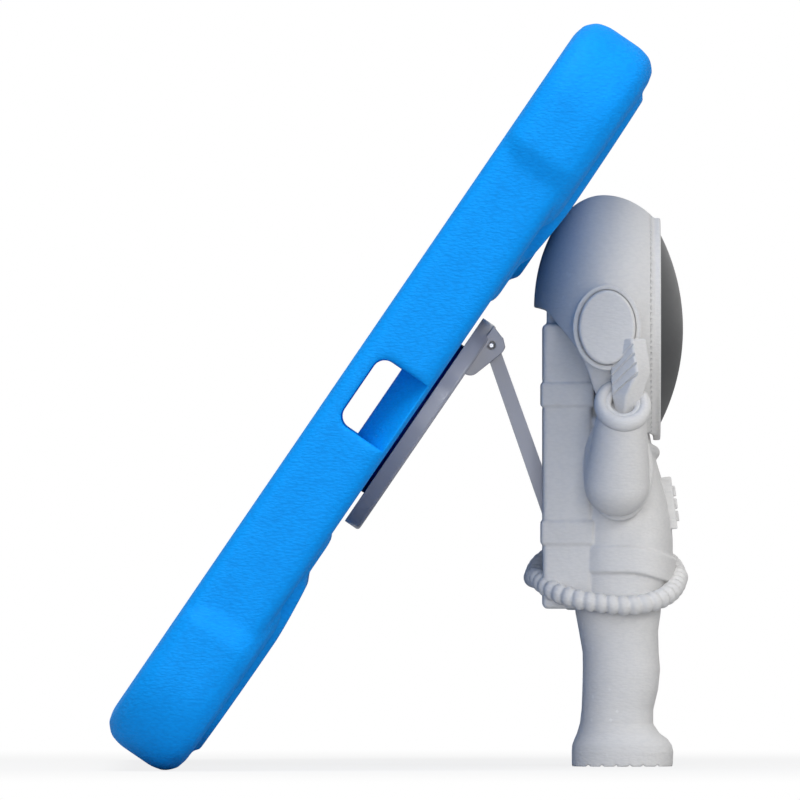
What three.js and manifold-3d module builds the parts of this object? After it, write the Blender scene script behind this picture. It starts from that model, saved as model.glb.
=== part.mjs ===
// Foam tablet case for a child, with a spaceman figure behind it as its stand.
//
// The case is a thick soft moulding that grips a tablet lying landscape. A disc swivels on its back and
// carries a hinged arm. The arm's other end is hinged in the figure's backpack. With the arm open the
// figure stands upright, its helmet leans on the case's back and the two make an A-frame on the table.
// With the arm folded the figure lies flat on the disc, which nests between helmet and waist rope.
//
// Millimetres, +Z up, +X away from the screen, +Y along the case's long side.

import * as THREE from "three";
import { mergeVertices } from "three/addons/utils/BufferGeometryUtils.js";
import Module from "manifold-3d";

const wasm = await Module();
wasm.setup();

// ---- Driving dimensions ----

// Clearances between pieces
const gap = 0.3; // between pieces that seat on each other
const helmetGap = 0.4; // between the helmet and the rest pad that it leans on

// Tablet that the case grips
const tabletLength = 250.6;
const tabletWidth = 174.1;
const tabletThickness = 7.5;
const tabletCornerRadius = 9;

// Foam case
const lean = 34.33; // degrees that the case leans back from the vertical
const caseRim = 16; // foam between the tablet's edge and the side of the case
const caseCornerRadius = 22;
const caseEdgeRadius = 4;
const lipThickness = 3.8;
const lipOverlap = 4.5; // how far the lip reaches over the screen's border
const backThickness = 8.6;

// Corner bumpers
const bumperProud = 3; // beyond the sides of the case
const bumperBackProud = 1.8; // beyond the back of the case
const bumperLength = 35.4; // along each side, from the corner
const bumperTaper = 5.4; // length of the slope down to the side
const bumperEdgeRadius = 6.2;

// Relief on the back
const bandProud = 0.8;
const bandInnerEdge = 36.2; // from the middle of the back to the near edge of each band
const bandOuterEdge = 97;
const bandHalfLength = 124;
const padProud = 3.5; // highest point of a corner pad above the back
const padInnerEdge = 46.2;
const padOuterEdge = 96.2;
const padInnerEnd = 66; // along the case, from the middle to the near end of a pad
const padOuterEnd = 127;
const padCornerRadius = 11;
const restProud = 2.45; // the pad that the helmet leans on
const restInnerEdge = 43;
const restOuterEdge = 84;
const restHalfLength = 30;

// Openings in the sides and the back
const portWidth = 19.4;
const portFront = 5.3; // from the case's front to the port's near edge
const portCornerRadius = 3;
const cameraRadius = 7;
const cameraFlare = 3; // how much wider the camera hole is on the outside
const cameraInset = 12; // from the tablet's edges to the lens
const buttonProud = 0.9;
const buttonLength = 24;
const buttonHeight = 5.2;

// Swivel through the case's back
const flangeRadius = 22;
const flangeThickness = 1.5;
const flangeProud = 0.6; // beyond the back of the case
const bushRadius = 18.5;
const hubRadius = 10.2;
const innerPlateRadius = 23.7;
const innerPlateThickness = 1.6;
const innerPlateSink = 0.5; // below the floor that the tablet lies on
const innerPlateBore = 13;
const retainerRadius = 12.5;
const retainerThickness = 0.9;
const plateScrewCircle = 15.75;
const plateScrewRadius = 0.9;
const plateScrewHeadRadius = 1.9;
const plateScrewHeadHeight = 0.7;
const plateScrewLength = 4;
const hubScrewRadius = 1.6;
const hubScrewHeadRadius = 3.4;
const hubScrewHeadHeight = 0.6;
const hubScrewLength = 6;

// Disc with its hinge ears
const discRadius = 30.4;
const discThickness = 4.1;
const discEdgeRadius = 0.7;
const hingeInset = 4.5; // from the disc's edge in to the hinge pin
const hingeStandoff = 1.35; // from the disc's face out to the hinge pin
const earThickness = 3;
const channelDepth = 1;
const channelFoot = 2.5; // from the folded arm's foot to the end of its channel
const earHoleRadius = 1.1;

// Arm and its pins
const armWidth = 21.4;
const armTopThickness = 3.4;
const armFootThickness = 4;
const armPanelDepth = 0.5;
const pinRadius = 0.7;
const pinBoreRadius = 1;

// Socket let into the backpack
const socketPinDepth = 1.97; // from the backpack's back face in to the lower pin
const socketPinHeight = 62.6; // above the soles
const socketFloor = 5.2; // from the backpack's back face in to the socket's floor
const socketWall = 1.6;
const socketHalfWidth = 15; // inside
const socketFoot = 4.6; // below the lower pin
const socketScrewRadius = 0.9;
const socketScrewHeadRadius = 1.7;
const socketScrewHeadHeight = 0.5;
const socketScrewLength = 5;
const socketScrewOffset = 7.5;

// Figure: helmet
const helmetDepth = 15.1; // from the middle of the helmet to the back face of the backpack
const helmetMiddleHeight = 113;
const helmetBack = 17.2;
const helmetFront = 20.8;
const helmetTop = 28.2;
const helmetBottom = 41.7;
const helmetHalfWidth = 31;
const rimPlane = 28.8;
const rimThickness = 1.7;
const rimProud = 0.5;
const visorHeight = 108.1;
const visorHalfHeight = 22.9;
const visorHalfWidth = 21.6;
const visorBulge = 5.7;
const visorSeatDepth = 1.6;
const earHeight = 109;
const earHalfWidth = 7;
const earHalfHeight = 9.2;
const earRingWidth = 1.5;
const earProud = 2.6;

// Figure: body, backpack and legs
const torsoBack = 8;
const torsoFront = 31.9;
const torsoHalfWidth = 21.4;
const torsoTop = 97;
const backpackDepth = 12.5;
const backpackHalfWidth = 20;
const backpackBottom = 39.4;
const backpackTop = 109.3;
const backpackEdgeRadius = 2.6;
const strapHeight = 5.9;
const strapProud = 0.45;
const upperStrapHeight = 91.8;
const lowerStrapHeight = 57.7;
const notchTop = 112.2; // room under the helmet for the folded hinge ears
const beltProud = 0.5;
const beltTop = 54.6;
const beltHeight = 6.7;
const chestBoxWidth = 15;
const chestBoxHeight = 13;
const chestBoxThickness = 4;
const chestBoxLean = 7.3; // degrees
const knobProud = 1;
const knobSize = 2.5;
const collarTube = 1.7;
const collarHeight = 84;
const collarMiddle = 14.8;
const collarHalfDepth = 12;
const collarHalfWidth = 17;
const legSpread = 12.1; // from the middle to each leg
const treadSize = 0.65; // depth of each groove in the soles, and half its width
const treadPitch = 3.4;
const treadCount = 6;

// Figure: rope round the hips
const ropeHeight = 46.6;
const ropeMiddle = 15.7;
const ropeHalfDepth = 17.7;
const ropeHalfWidth = 25.2;
const ropeRadius = 2.45;
const ropeGroove = 0.55;
const ropeDrop = 7; // how far the -Y side hangs below the middle, and the +Y side lies above it
const ropeLevel = 6; // half the width over which the rope is level at the back and the front
const ropeBeadCount = 52;

// Figure: arms
const cuffRadius = 5.7;
const cuffTube = 1.6;

// ---- Sizes that follow ----

const radians = THREE.MathUtils.degToRad;
const leanAngle = radians(lean);

const cavityHalfLength = tabletLength / 2 + gap;
const cavityHalfWidth = tabletWidth / 2 + gap;
const caseHalfLength = tabletLength / 2 + caseRim;
const caseHalfWidth = tabletWidth / 2 + caseRim;
const bumperHalfLength = caseHalfLength + bumperProud;
const bumperHalfWidth = caseHalfWidth + bumperProud;
const floorDepth = lipThickness + tabletThickness; // front of the case to the floor that the tablet lies on
const caseThickness = floorDepth + backThickness;
const bumperThickness = caseThickness + bumperBackProud;

const discBack = caseThickness + flangeProud + gap;
const discFace = discBack + discThickness;
const hingeDepth = discFace + hingeStandoff;
const hingeRise = discRadius - hingeInset; // from the disc's centre up to the hinge pin
const earInside = armWidth / 2 + gap;
const earOutside = earInside + earThickness;

// The case stands on the rounded back edge of its lower bumpers.
const caseLift =
  (bumperThickness - bumperEdgeRadius) * Math.sin(leanAngle) +
  (bumperHalfWidth - bumperEdgeRadius) * Math.cos(leanAngle) +
  bumperEdgeRadius;

// Case frame to part frame, as seen from the side: depth from the screen and rise along the case.
const across = new THREE.Vector2(Math.cos(leanAngle), -Math.sin(leanAngle));
const along = new THREE.Vector2(Math.sin(leanAngle), Math.cos(leanAngle));
const sidePoint = (depth, rise) =>
  new THREE.Vector2(0, caseLift)
    .addScaledVector(across, depth)
    .addScaledVector(along, rise);

// The helmet's nearest point to the case touches the rest pad, and that places the figure.
const helmetReach = Math.hypot(
  helmetBack * Math.cos(leanAngle),
  helmetTop * Math.sin(leanAngle),
);
const restFace = caseThickness + restProud;
const helmetDrop = sidePoint(restFace + helmetGap + helmetReach, 0).sub(
  new THREE.Vector2(0, helmetMiddleHeight),
);
const helmetMiddle = helmetDrop.dot(across) / Math.cos(leanAngle);
const figureX = helmetMiddle - helmetDepth;

// The arm runs from the hinge on the disc to the pin in the backpack.
const upperPin = sidePoint(hingeDepth, hingeRise);
const lowerPin = new THREE.Vector2(figureX + socketPinDepth, socketPinHeight);
const armLength = upperPin.distanceTo(lowerPin);
const armAngle = Math.atan2(lowerPin.x - upperPin.x, upperPin.y - lowerPin.y);

// The part's origin is under the middle of its depth.
const casePlaneX = sidePoint(0, -bumperHalfWidth + bumperEdgeRadius);
const frontmost =
  casePlaneX.x + bumperEdgeRadius * Math.cos(leanAngle) - bumperEdgeRadius;
const rearmost = figureX + ropeMiddle + ropeHalfDepth + ropeRadius;
const originX = (frontmost + rearmost) / 2;

// ---- Materials ----

function foam(name, colour) {
  return new THREE.MeshStandardMaterial({
    name,
    color: colour,
    roughness: 0.62,
    metalness: 0,
  });
}
const blueFoam = foam("blue_foam", 0x0090f0);
const whiteFoam = foam("white_foam", 0xd4d6da);
const greyPlastic = new THREE.MeshStandardMaterial({
  name: "grey_plastic",
  color: 0xb4b4c2,
  roughness: 0.38,
  metalness: 0,
});
const navyPlastic = new THREE.MeshStandardMaterial({
  name: "navy_plastic",
  color: 0x12235f,
  roughness: 0.45,
  metalness: 0,
});
const visorPlastic = new THREE.MeshStandardMaterial({
  name: "visor_plastic",
  color: 0x555555,
  roughness: 0.35,
  metalness: 0,
});
const steel = new THREE.MeshStandardMaterial({
  name: "steel",
  color: 0xc8c9cc,
  roughness: 0.3,
  metalness: 1,
});

// ---- Solids ----

const axisX = new THREE.Vector3(1, 0, 0);
const axisY = new THREE.Vector3(0, 1, 0);
const axisZ = new THREE.Vector3(0, 0, 1);

// A closed geometry as a solid that can be joined and cut.
function solid(geometry) {
  const bare = geometry.index ? geometry.clone() : geometry;
  for (const name of ["normal", "uv"]) bare.deleteAttribute(name);
  const merged = mergeVertices(bare, 1e-4);
  return new wasm.Manifold(
    new wasm.Mesh({
      numProp: 3,
      vertProperties: merged.attributes.position.array,
      triVerts: new Uint32Array(merged.index.array),
    }),
  );
}

function join(...solids) {
  return solids.reduce((whole, each) => whole.add(each));
}

function cut(whole, ...tools) {
  return tools.reduce((left, tool) => left.subtract(tool), whole);
}

function piece(name, shape, material) {
  const made = shape.getMesh();
  const geometry = new THREE.BufferGeometry();
  geometry.setAttribute(
    "position",
    new THREE.BufferAttribute(made.vertProperties, 3),
  );
  geometry.setIndex(new THREE.BufferAttribute(made.triVerts, 1));
  geometry.computeVertexNormals();
  const mesh = new THREE.Mesh(geometry, material);
  mesh.name = name;
  return mesh;
}

function box(low, high) {
  const size = high.map((v, i) => v - low[i]);
  const middle = high.map((v, i) => (v + low[i]) / 2);
  return solid(new THREE.BoxGeometry(...size).translate(...middle));
}

// A profile of [radius, height] points turned about an axis through a point.
function turned(profile, axis, at = [0, 0, 0], sides = 40) {
  const points = profile.map(([r, h]) => new THREE.Vector2(r, h));
  const geometry = new THREE.LatheGeometry(points, sides);
  geometry.applyQuaternion(
    new THREE.Quaternion().setFromUnitVectors(axisY, axis),
  );
  return solid(geometry.translate(...at));
}

// A cylinder from one height to another along an axis through a point.
function rod(radius, from, to, axis, at = [0, 0, 0], sides = 24) {
  const profile = [
    [0, from],
    [radius, from],
    [radius, to],
    [0, to],
  ];
  return turned(profile, axis, at, sides);
}

// An outline of the back of the case (y, z) made solid from one depth to another, its edges rounded.
function slab(shape, front, back, edgeRadius = 0, edgeSteps = 3, curveSteps = 6) {
  const geometry = new THREE.ExtrudeGeometry(shape, {
    depth: back - front - 2 * edgeRadius,
    curveSegments: curveSteps,
    bevelEnabled: edgeRadius > 0,
    bevelThickness: edgeRadius,
    bevelSize: edgeRadius,
    bevelOffset: -edgeRadius,
    bevelSegments: edgeSteps,
  });
  geometry.translate(0, 0, front + edgeRadius);
  geometry.applyMatrix4(new THREE.Matrix4().makeBasis(axisY, axisZ, axisX));
  return solid(geometry);
}

// A side outline (x, z) made solid across the part, from -halfWidth to +halfWidth.
function acrossPart(shape, halfWidth, edgeRadius = 0, edgeSteps = 3, curveSteps = 6) {
  const geometry = new THREE.ExtrudeGeometry(shape, {
    depth: 2 * (halfWidth - edgeRadius),
    curveSegments: curveSteps,
    bevelEnabled: edgeRadius > 0,
    bevelThickness: edgeRadius,
    bevelSize: edgeRadius,
    bevelOffset: -edgeRadius,
    bevelSegments: edgeSteps,
  });
  geometry.rotateX(Math.PI / 2).translate(0, halfWidth - edgeRadius, 0);
  return solid(geometry);
}

function polygon(points) {
  return new THREE.Shape(points.map(([a, b]) => new THREE.Vector2(a, b)));
}

// A rectangle with round corners, from its low corner to its high corner.
function roundedRectangle(low, high, radius) {
  const shape = new THREE.Shape();
  const [a, b] = low;
  const [c, d] = high;
  shape.moveTo(c, b + radius);
  shape.lineTo(c, d - radius);
  shape.absarc(c - radius, d - radius, radius, 0, Math.PI / 2);
  shape.lineTo(a + radius, d);
  shape.absarc(a + radius, d - radius, radius, Math.PI / 2, Math.PI);
  shape.lineTo(a, b + radius);
  shape.absarc(a + radius, b + radius, radius, Math.PI, 1.5 * Math.PI);
  shape.lineTo(c - radius, b);
  shape.absarc(c - radius, b + radius, radius, 1.5 * Math.PI, 2 * Math.PI);
  return shape;
}

// Rings stacked upwards into one closed skin. Each ring is an oval, squarer as its power rises.
function stacked(rings, sides = 28) {
  const positions = [];
  const triangles = [];
  for (const { z, x, y = 0, depth, width, power = 2 } of rings) {
    for (let j = 0; j < sides; j++) {
      const turn = (2 * Math.PI * j) / sides;
      const [c, s] = [Math.cos(turn), Math.sin(turn)];
      const px = x + depth * Math.sign(c) * Math.abs(c) ** (2 / power);
      const py = y + width * Math.sign(s) * Math.abs(s) ** (2 / power);
      positions.push(px, py, z);
    }
  }
  const [first, last] = [rings[0], rings.at(-1)];
  const bottom = positions.push(first.x, first.y ?? 0, first.z) / 3 - 1;
  const top = positions.push(last.x, last.y ?? 0, last.z) / 3 - 1;
  const lastRing = (rings.length - 1) * sides;
  for (let j = 0; j < sides; j++) {
    const next = (j + 1) % sides;
    for (let i = 0; i < rings.length - 1; i++) {
      const [low, high] = [i * sides, (i + 1) * sides];
      triangles.push(low + j, low + next, high + next);
      triangles.push(low + j, high + next, high + j);
    }
    triangles.push(bottom, next, j, top, lastRing + j, lastRing + next);
  }
  const geometry = new THREE.BufferGeometry();
  geometry.setAttribute(
    "position",
    new THREE.Float32BufferAttribute(positions, 3),
  );
  geometry.setIndex(triangles);
  return solid(geometry);
}

// A round limb from one point to another, with its own radius at each end.
function limb(from, fromRadius, to, toRadius, sides = 14) {
  const start = new THREE.Vector3(...from);
  const run = new THREE.Vector3(...to).sub(start);
  const length = run.length();
  const slope = Math.asin((fromRadius - toRadius) / length);
  const profile = [];
  const steps = 3;
  for (let i = 0; i <= steps; i++) {
    const turn = -Math.PI / 2 + ((slope + Math.PI / 2) * i) / steps;
    profile.push([
      fromRadius * Math.cos(turn),
      fromRadius * Math.sin(turn),
    ]);
  }
  for (let i = 0; i <= steps; i++) {
    const turn = slope + ((Math.PI / 2 - slope) * i) / steps;
    profile.push([
      toRadius * Math.cos(turn),
      length + toRadius * Math.sin(turn),
    ]);
  }
  profile[0][0] = 0;
  profile.at(-1)[0] = 0;
  return turned(profile, run.normalize(), from, sides);
}

// ---- Foam case, in its own upright frame: x is depth from the screen, y along, z up ----

function bumperOutline(sideY, sideZ) {
  // Outer corner first, then round the inside, where the bumper runs on under the back of the case.
  const [y, z] = [bumperHalfLength, bumperHalfWidth];
  const slope = bumperTaper / bumperProud;
  const buried = bumperProud + 6;
  const shape = new THREE.Shape();
  shape.moveTo(y, z - bumperLength);
  shape.lineTo(y, z - caseCornerRadius);
  shape.absarc(
    y - caseCornerRadius,
    z - caseCornerRadius,
    caseCornerRadius,
    0,
    Math.PI / 2,
  );
  shape.lineTo(y - bumperLength, z);
  shape.lineTo(y - bumperLength - buried * slope, z - buried);
  shape.quadraticCurveTo(
    y - bumperLength - buried * slope,
    z - bumperLength - buried * slope,
    y - buried,
    z - bumperLength - buried * slope,
  );
  const points = shape.getPoints(6).map((p) => [sideY * p.x, sideZ * p.y]);
  if (sideY * sideZ < 0) points.reverse();
  return polygon(points);
}

function padOutline(sideY, sideZ) {
  const ends = [sideY * padInnerEnd, sideY * padOuterEnd].sort((a, b) => a - b);
  const edges = [sideZ * padInnerEdge, sideZ * padOuterEdge].sort(
    (a, b) => a - b,
  );
  return roundedRectangle(
    [ends[0], edges[0]],
    [ends[1], edges[1]],
    padCornerRadius,
  );
}

// A corner pad is crowned along the rise of the case: low at its inner edge, highest a third of the way out.
function cornerPad(sideY, sideZ) {
  const crown = new THREE.Shape();
  const root = caseThickness - 2;
  const low = caseThickness + 0.63 * padProud;
  const high = caseThickness + padProud;
  const far = caseThickness + 0.87 * padProud;
  const reach = padOuterEdge - padInnerEdge;
  crown.moveTo(root, sideZ * (padInnerEdge - 1));
  crown.lineTo(caseThickness + bandProud, sideZ * padInnerEdge);
  crown.lineTo(low, sideZ * (padInnerEdge + 2.7));
  crown.quadraticCurveTo(
    high,
    sideZ * (padInnerEdge + 0.28 * reach),
    high,
    sideZ * (padInnerEdge + 0.36 * reach),
  );
  crown.quadraticCurveTo(
    high,
    sideZ * (padInnerEdge + 0.7 * reach),
    far,
    sideZ * padOuterEdge,
  );
  crown.lineTo(root, sideZ * (padOuterEdge + 1));
  const rise = acrossPart(crown, bumperHalfLength, 0, 1, 5);
  return slab(padOutline(sideY, sideZ), root, high + 1, 0, 1, 5).intersect(rise);
}

function foamCase() {
  const body = slab(
    roundedRectangle(
      [-caseHalfLength, -caseHalfWidth],
      [caseHalfLength, caseHalfWidth],
      caseCornerRadius,
    ),
    0,
    caseThickness,
    caseEdgeRadius,
  );
  const added = [];
  for (const sideZ of [-1, 1]) {
    const edges = [sideZ * bandInnerEdge, sideZ * bandOuterEdge].sort(
      (a, b) => a - b,
    );
    added.push(
      slab(
        roundedRectangle(
          [-bandHalfLength, edges[0]],
          [bandHalfLength, edges[1]],
          padCornerRadius,
        ),
        caseThickness - 2,
        caseThickness + bandProud,
      ),
    );
    for (const sideY of [-1, 1]) {
      added.push(
        slab(bumperOutline(sideY, sideZ), 0, bumperThickness, bumperEdgeRadius),
      );
      added.push(cornerPad(sideY, sideZ));
    }
  }
  added.push(helmetRest(), ...buttonCovers());
  return cut(
    join(body, ...added),
    tabletCavity(),
    screenWindow(),
    portCut(-1),
    portCut(1),
    cameraHole(),
    swivelHole(),
  );
}

function helmetRest() {
  return slab(
    roundedRectangle(
      [-restHalfLength, restInnerEdge],
      [restHalfLength, restOuterEdge],
      padCornerRadius,
    ),
    caseThickness - 3,
    restFace,
    1,
    2,
    5,
  );
}

// Moulded covers over the tablet's volume buttons, on the top side, and its power button, on the +Y side.
function buttonCovers() {
  const middle = lipThickness + tabletThickness / 2;
  const cover = (length) =>
    roundedRectangle(
      [-length / 2, middle - buttonHeight / 2],
      [length / 2, middle + buttonHeight / 2],
      buttonHeight / 2 - 0.1,
    );
  const extrude = (shape, depth) =>
    new THREE.ExtrudeGeometry(shape, {
      depth,
      bevelEnabled: false,
      curveSegments: 5,
    });
  const sunk = 3;
  const along = cavityHalfLength - 2.3 * buttonLength;
  const volume = extrude(cover(buttonLength), sunk + buttonProud)
    .applyMatrix4(
      new THREE.Matrix4().makeBasis(axisY, axisX, axisZ.clone().negate()),
    )
    .translate(0, along, caseHalfWidth + buttonProud);
  const power = extrude(cover(buttonLength * 0.55), sunk + buttonProud)
    .applyMatrix4(new THREE.Matrix4().makeBasis(axisZ, axisX, axisY))
    .translate(0, caseHalfLength - sunk, cavityHalfWidth - 2 * buttonLength);
  return [solid(volume), solid(power)];
}

function tabletCavity() {
  const shape = roundedRectangle(
    [-cavityHalfLength, -cavityHalfWidth],
    [cavityHalfLength, cavityHalfWidth],
    tabletCornerRadius,
  );
  return slab(shape, lipThickness, floorDepth);
}

// The window's edge slopes open towards the front.
function screenWindow() {
  const halfLength = cavityHalfLength - lipOverlap;
  const halfWidth = cavityHalfWidth - lipOverlap;
  const radius = tabletCornerRadius - lipOverlap / 2;
  const geometry = new THREE.ExtrudeGeometry(
    roundedRectangle(
      [-halfLength, -halfWidth],
      [halfLength, halfWidth],
      radius,
    ),
    {
      depth: lipThickness,
      curveSegments: 6,
      bevelEnabled: true,
      bevelThickness: lipThickness,
      bevelSize: lipThickness * 0.6,
      bevelOffset: -lipThickness * 0.6,
      bevelSegments: 1,
    },
  );
  // The bevel's narrow end is at the cavity, and its wide middle is in front of the lip.
  geometry.applyMatrix4(new THREE.Matrix4().makeBasis(axisY, axisZ, axisX));
  geometry.translate(-lipThickness - 0.01, 0, 0);
  const straight = slab(
    roundedRectangle(
      [-halfLength + lipThickness * 0.6, -halfWidth + lipThickness * 0.6],
      [halfLength - lipThickness * 0.6, halfWidth - lipThickness * 0.6],
      radius,
    ),
    -1,
    lipThickness + 1,
  );
  return join(solid(geometry), straight);
}

// A slot through the end wall, with a ramp scooped out of the back behind it for a fat plug.
function portCut(side) {
  const deep = cavityHalfLength - 3;
  const out = bumperHalfLength + 3;
  const profile = [
    [portFront, deep],
    [portFront, out],
    [caseThickness - 0.4, out],
    [caseThickness - 0.4, caseHalfLength - 0.2],
    [floorDepth, cavityHalfLength + 2.2],
    [floorDepth, deep],
  ].map(([x, y]) => [x, side * y]);
  const ramp = new THREE.ExtrudeGeometry(
    polygon(side > 0 ? profile : profile.reverse()),
    { depth: portWidth, bevelEnabled: false },
  ).translate(0, 0, -portWidth / 2);
  const mouth = roundedRectangle(
    [portFront, -portWidth / 2],
    [caseThickness + portCornerRadius + 2, portWidth / 2],
    portCornerRadius,
  );
  return solid(ramp).intersect(acrossPart(mouth, out + 1));
}

function cameraHole() {
  const at = [0, cavityHalfLength - cameraInset, cavityHalfWidth - cameraInset];
  const back = bumperThickness + padProud;
  const profile = [
    [0, floorDepth - 1],
    [cameraRadius, floorDepth - 1],
    [cameraRadius, floorDepth + 2],
    [cameraRadius + cameraFlare, back],
    [0, back],
  ];
  return turned(profile, axisX, at, 28);
}

function swivelHole() {
  const profile = [
    [0, floorDepth - 1],
    [innerPlateRadius + gap, floorDepth - 1],
    [innerPlateRadius + gap, plateBack + gap],
    [bushRadius + gap, plateBack + gap],
    [bushRadius + gap, flangeFront - gap],
    [flangeRadius + gap, flangeFront - gap],
    [flangeRadius + gap, caseThickness + 1],
    [0, caseThickness + 1],
  ];
  return turned(profile, axisX, [0, 0, 0], 40);
}

// ---- Swivel, in the case's frame ----

const plateFront = floorDepth + innerPlateSink;
const plateBack = plateFront + innerPlateThickness;
const flangeBack = caseThickness + flangeProud;
const flangeFront = flangeBack - flangeThickness;
const plateScrewAngles = [45, 135, 225, 315];

function onPlateScrewCircle(degrees) {
  const turn = radians(degrees);
  return [0, plateScrewCircle * Math.cos(turn), plateScrewCircle * Math.sin(turn)];
}

function swivelBush() {
  const profile = [
    [hubRadius + gap, plateBack + gap],
    [bushRadius, plateBack + gap],
    [bushRadius, flangeFront],
    [flangeRadius, flangeFront],
    [flangeRadius, flangeBack],
    [hubRadius + gap, flangeBack],
    [hubRadius + gap, plateBack + gap],
  ];
  const holes = plateScrewAngles.map((degrees) =>
    rod(
      plateScrewRadius + gap,
      plateFront,
      plateFront + plateScrewHeadHeight + plateScrewLength + gap,
      axisX,
      onPlateScrewCircle(degrees),
      8,
    ),
  );
  return cut(turned(profile, axisX, [0, 0, 0], 40), ...holes);
}

function innerPlate() {
  const profile = [
    [innerPlateBore, plateFront],
    [innerPlateRadius, plateFront],
    [innerPlateRadius, plateBack],
    [innerPlateBore, plateBack],
    [innerPlateBore, plateFront],
  ];
  const holes = plateScrewAngles.flatMap((degrees) => {
    const at = onPlateScrewCircle(degrees);
    return [
      rod(plateScrewRadius + gap, plateFront - 1, plateBack + 1, axisX, at, 8),
      rod(
        plateScrewHeadRadius + gap,
        plateFront - 1,
        plateFront + plateScrewHeadHeight + gap,
        axisX,
        at,
        12,
      ),
    ];
  });
  return cut(turned(profile, axisX, [0, 0, 0], 40), ...holes);
}

// A screw along x with a flat round head and a cross slot, its head's top at the given depth.
function screw(at, top, headRadius, headHeight, radius, length) {
  const end = top + headHeight + length;
  const head = rod(headRadius, top, top + headHeight, axisX, at, 12);
  const shank = rod(radius, top + headHeight / 2, end, axisX, at, 8);
  const slotDepth = headHeight * 0.5;
  const slotHalf = headRadius * 0.6;
  const slotWidth = headRadius * 0.14;
  const [x, y, z] = at;
  const slots = [
    [slotHalf, slotWidth],
    [slotWidth, slotHalf],
  ].map(([a, b]) =>
    box(
      [x + top - 1, y - a, z - b],
      [x + top + slotDepth, y + a, z + b],
    ),
  );
  return cut(join(head, shank), ...slots);
}

function plateScrew(degrees) {
  return screw(
    onPlateScrewCircle(degrees),
    plateFront,
    plateScrewHeadRadius,
    plateScrewHeadHeight,
    plateScrewRadius,
    plateScrewLength,
  );
}

const retainerBack = plateBack;
const retainerFront = retainerBack - retainerThickness;

function retainer() {
  const profile = [
    [hubScrewRadius + gap, retainerFront],
    [retainerRadius, retainerFront],
    [retainerRadius, retainerBack],
    [hubScrewRadius + gap, retainerBack],
    [hubScrewRadius + gap, retainerFront],
  ];
  return turned(profile, axisX, [0, 0, 0], 28);
}

function hubScrew() {
  return screw(
    [0, 0, 0],
    retainerFront - gap - hubScrewHeadHeight,
    hubScrewHeadRadius,
    hubScrewHeadHeight,
    hubScrewRadius,
    hubScrewLength,
  );
}

// One hinge ear: a rounded foot along the disc, a sloping back and a clipped nose above the pin.
function earOutline() {
  const shape = new THREE.Shape();
  const [x, z] = [hingeDepth, hingeRise];
  const foot = discFace - 1;
  shape.moveTo(foot, z - 9.5);
  shape.lineTo(discFace, z - 9.5);
  shape.quadraticCurveTo(x + 0.5, z - 9.2, x + 0.9, z - 7.6);
  shape.lineTo(x + 3.0, z - 0.9);
  shape.quadraticCurveTo(x + 3.3, z, x + 3.15, z + 1.5);
  shape.lineTo(x + 1.3, z + 3.2);
  shape.lineTo(x + 0.9, z + 3.1);
  shape.lineTo(foot, z + 4.3);
  return shape;
}

function discSolid() {
  const e = discEdgeRadius;
  const bore = hubScrewRadius + gap;
  const hubEnd = retainerBack + gap;
  const boreEnd = hubEnd + hubScrewLength;
  const profile = [
    [0, boreEnd],
    [bore, boreEnd],
    [bore, hubEnd],
    [hubRadius, hubEnd],
    [hubRadius, discBack],
    [discRadius - e, discBack],
    [discRadius - 0.3 * e, discBack + 0.3 * e],
    [discRadius, discBack + e],
    [discRadius, discFace - e],
    [discRadius - 0.3 * e, discFace - 0.3 * e],
    [discRadius - e, discFace],
    [0, discFace],
  ];
  const plate = turned(profile, axisX, [0, 0, 0], 52);
  const ears = acrossPart(earOutline(), earOutside, 0, 1, 5);
  const between = box(
    [discFace, -earInside, hingeRise - 12],
    [hingeDepth + 6, earInside, hingeRise + 7],
  );
  const channel = box(
    [discFace - channelDepth, -earInside, hingeRise - armLength - armFootThickness / 2 - channelFoot],
    [discFace + 1, earInside, hingeRise],
  );
  const knuckleRoom = rod(
    armTopThickness / 2 + gap + 0.2,
    -earInside,
    earInside,
    axisY,
    [hingeDepth, 0, hingeRise],
  );
  const holeShape = new THREE.Shape();
  const flat = Math.asin(0.75);
  holeShape.absarc(hingeDepth, hingeRise, earHoleRadius, Math.PI - flat, Math.PI + flat, true);
  const pinHole = acrossPart(holeShape, earOutside + 1, 0, 1, 12);
  return cut(
    join(plate, cut(ears, between)),
    channel,
    knuckleRoom,
    pinHole,
  );
}

function pin(halfLength, at) {
  return turned(
    [
      [0, -halfLength],
      [pinRadius * 0.7, -halfLength],
      [pinRadius, -halfLength + 0.2],
      [pinRadius, halfLength - 0.2],
      [pinRadius * 0.7, halfLength],
      [0, halfLength],
    ],
    axisY,
    at,
    16,
  );
}

// ---- Arm, in a frame with its upper pin at the origin and its foot straight down ----

function armSolid() {
  const top = armTopThickness / 2;
  const foot = armFootThickness / 2;
  const halfWidth = armWidth / 2;
  const blade = polygon([
    [-top, 0],
    [-foot, -armLength],
    [foot, -armLength],
    [top, 0],
  ]);
  const side = acrossPart(blade, halfWidth);
  const knuckles = [
    rod(top, -halfWidth, halfWidth, axisY, [0, 0, 0], 20),
    rod(foot, -halfWidth, halfWidth, axisY, [0, 0, -armLength], 20),
  ];
  const panel = roundedRectangle(
    [-halfWidth + 2.5, -armLength + foot + 3.5],
    [halfWidth - 2.5, -top - 4],
    2.5,
  );
  const panelHalf = (top + foot) / 2 - armPanelDepth;
  const panels = [
    slab(panel, panelHalf, foot + 1),
    slab(panel, -foot - 1, -panelHalf),
  ];
  const bores = [0, -armLength].map((z) =>
    rod(pinBoreRadius, -halfWidth - 1, halfWidth + 1, axisY, [0, 0, z], 20),
  );
  return cut(join(side, ...knuckles), ...panels, ...bores);
}

// ---- Socket in the backpack, in the figure's frame: x forward from the backpack, z up from the soles ----

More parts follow.
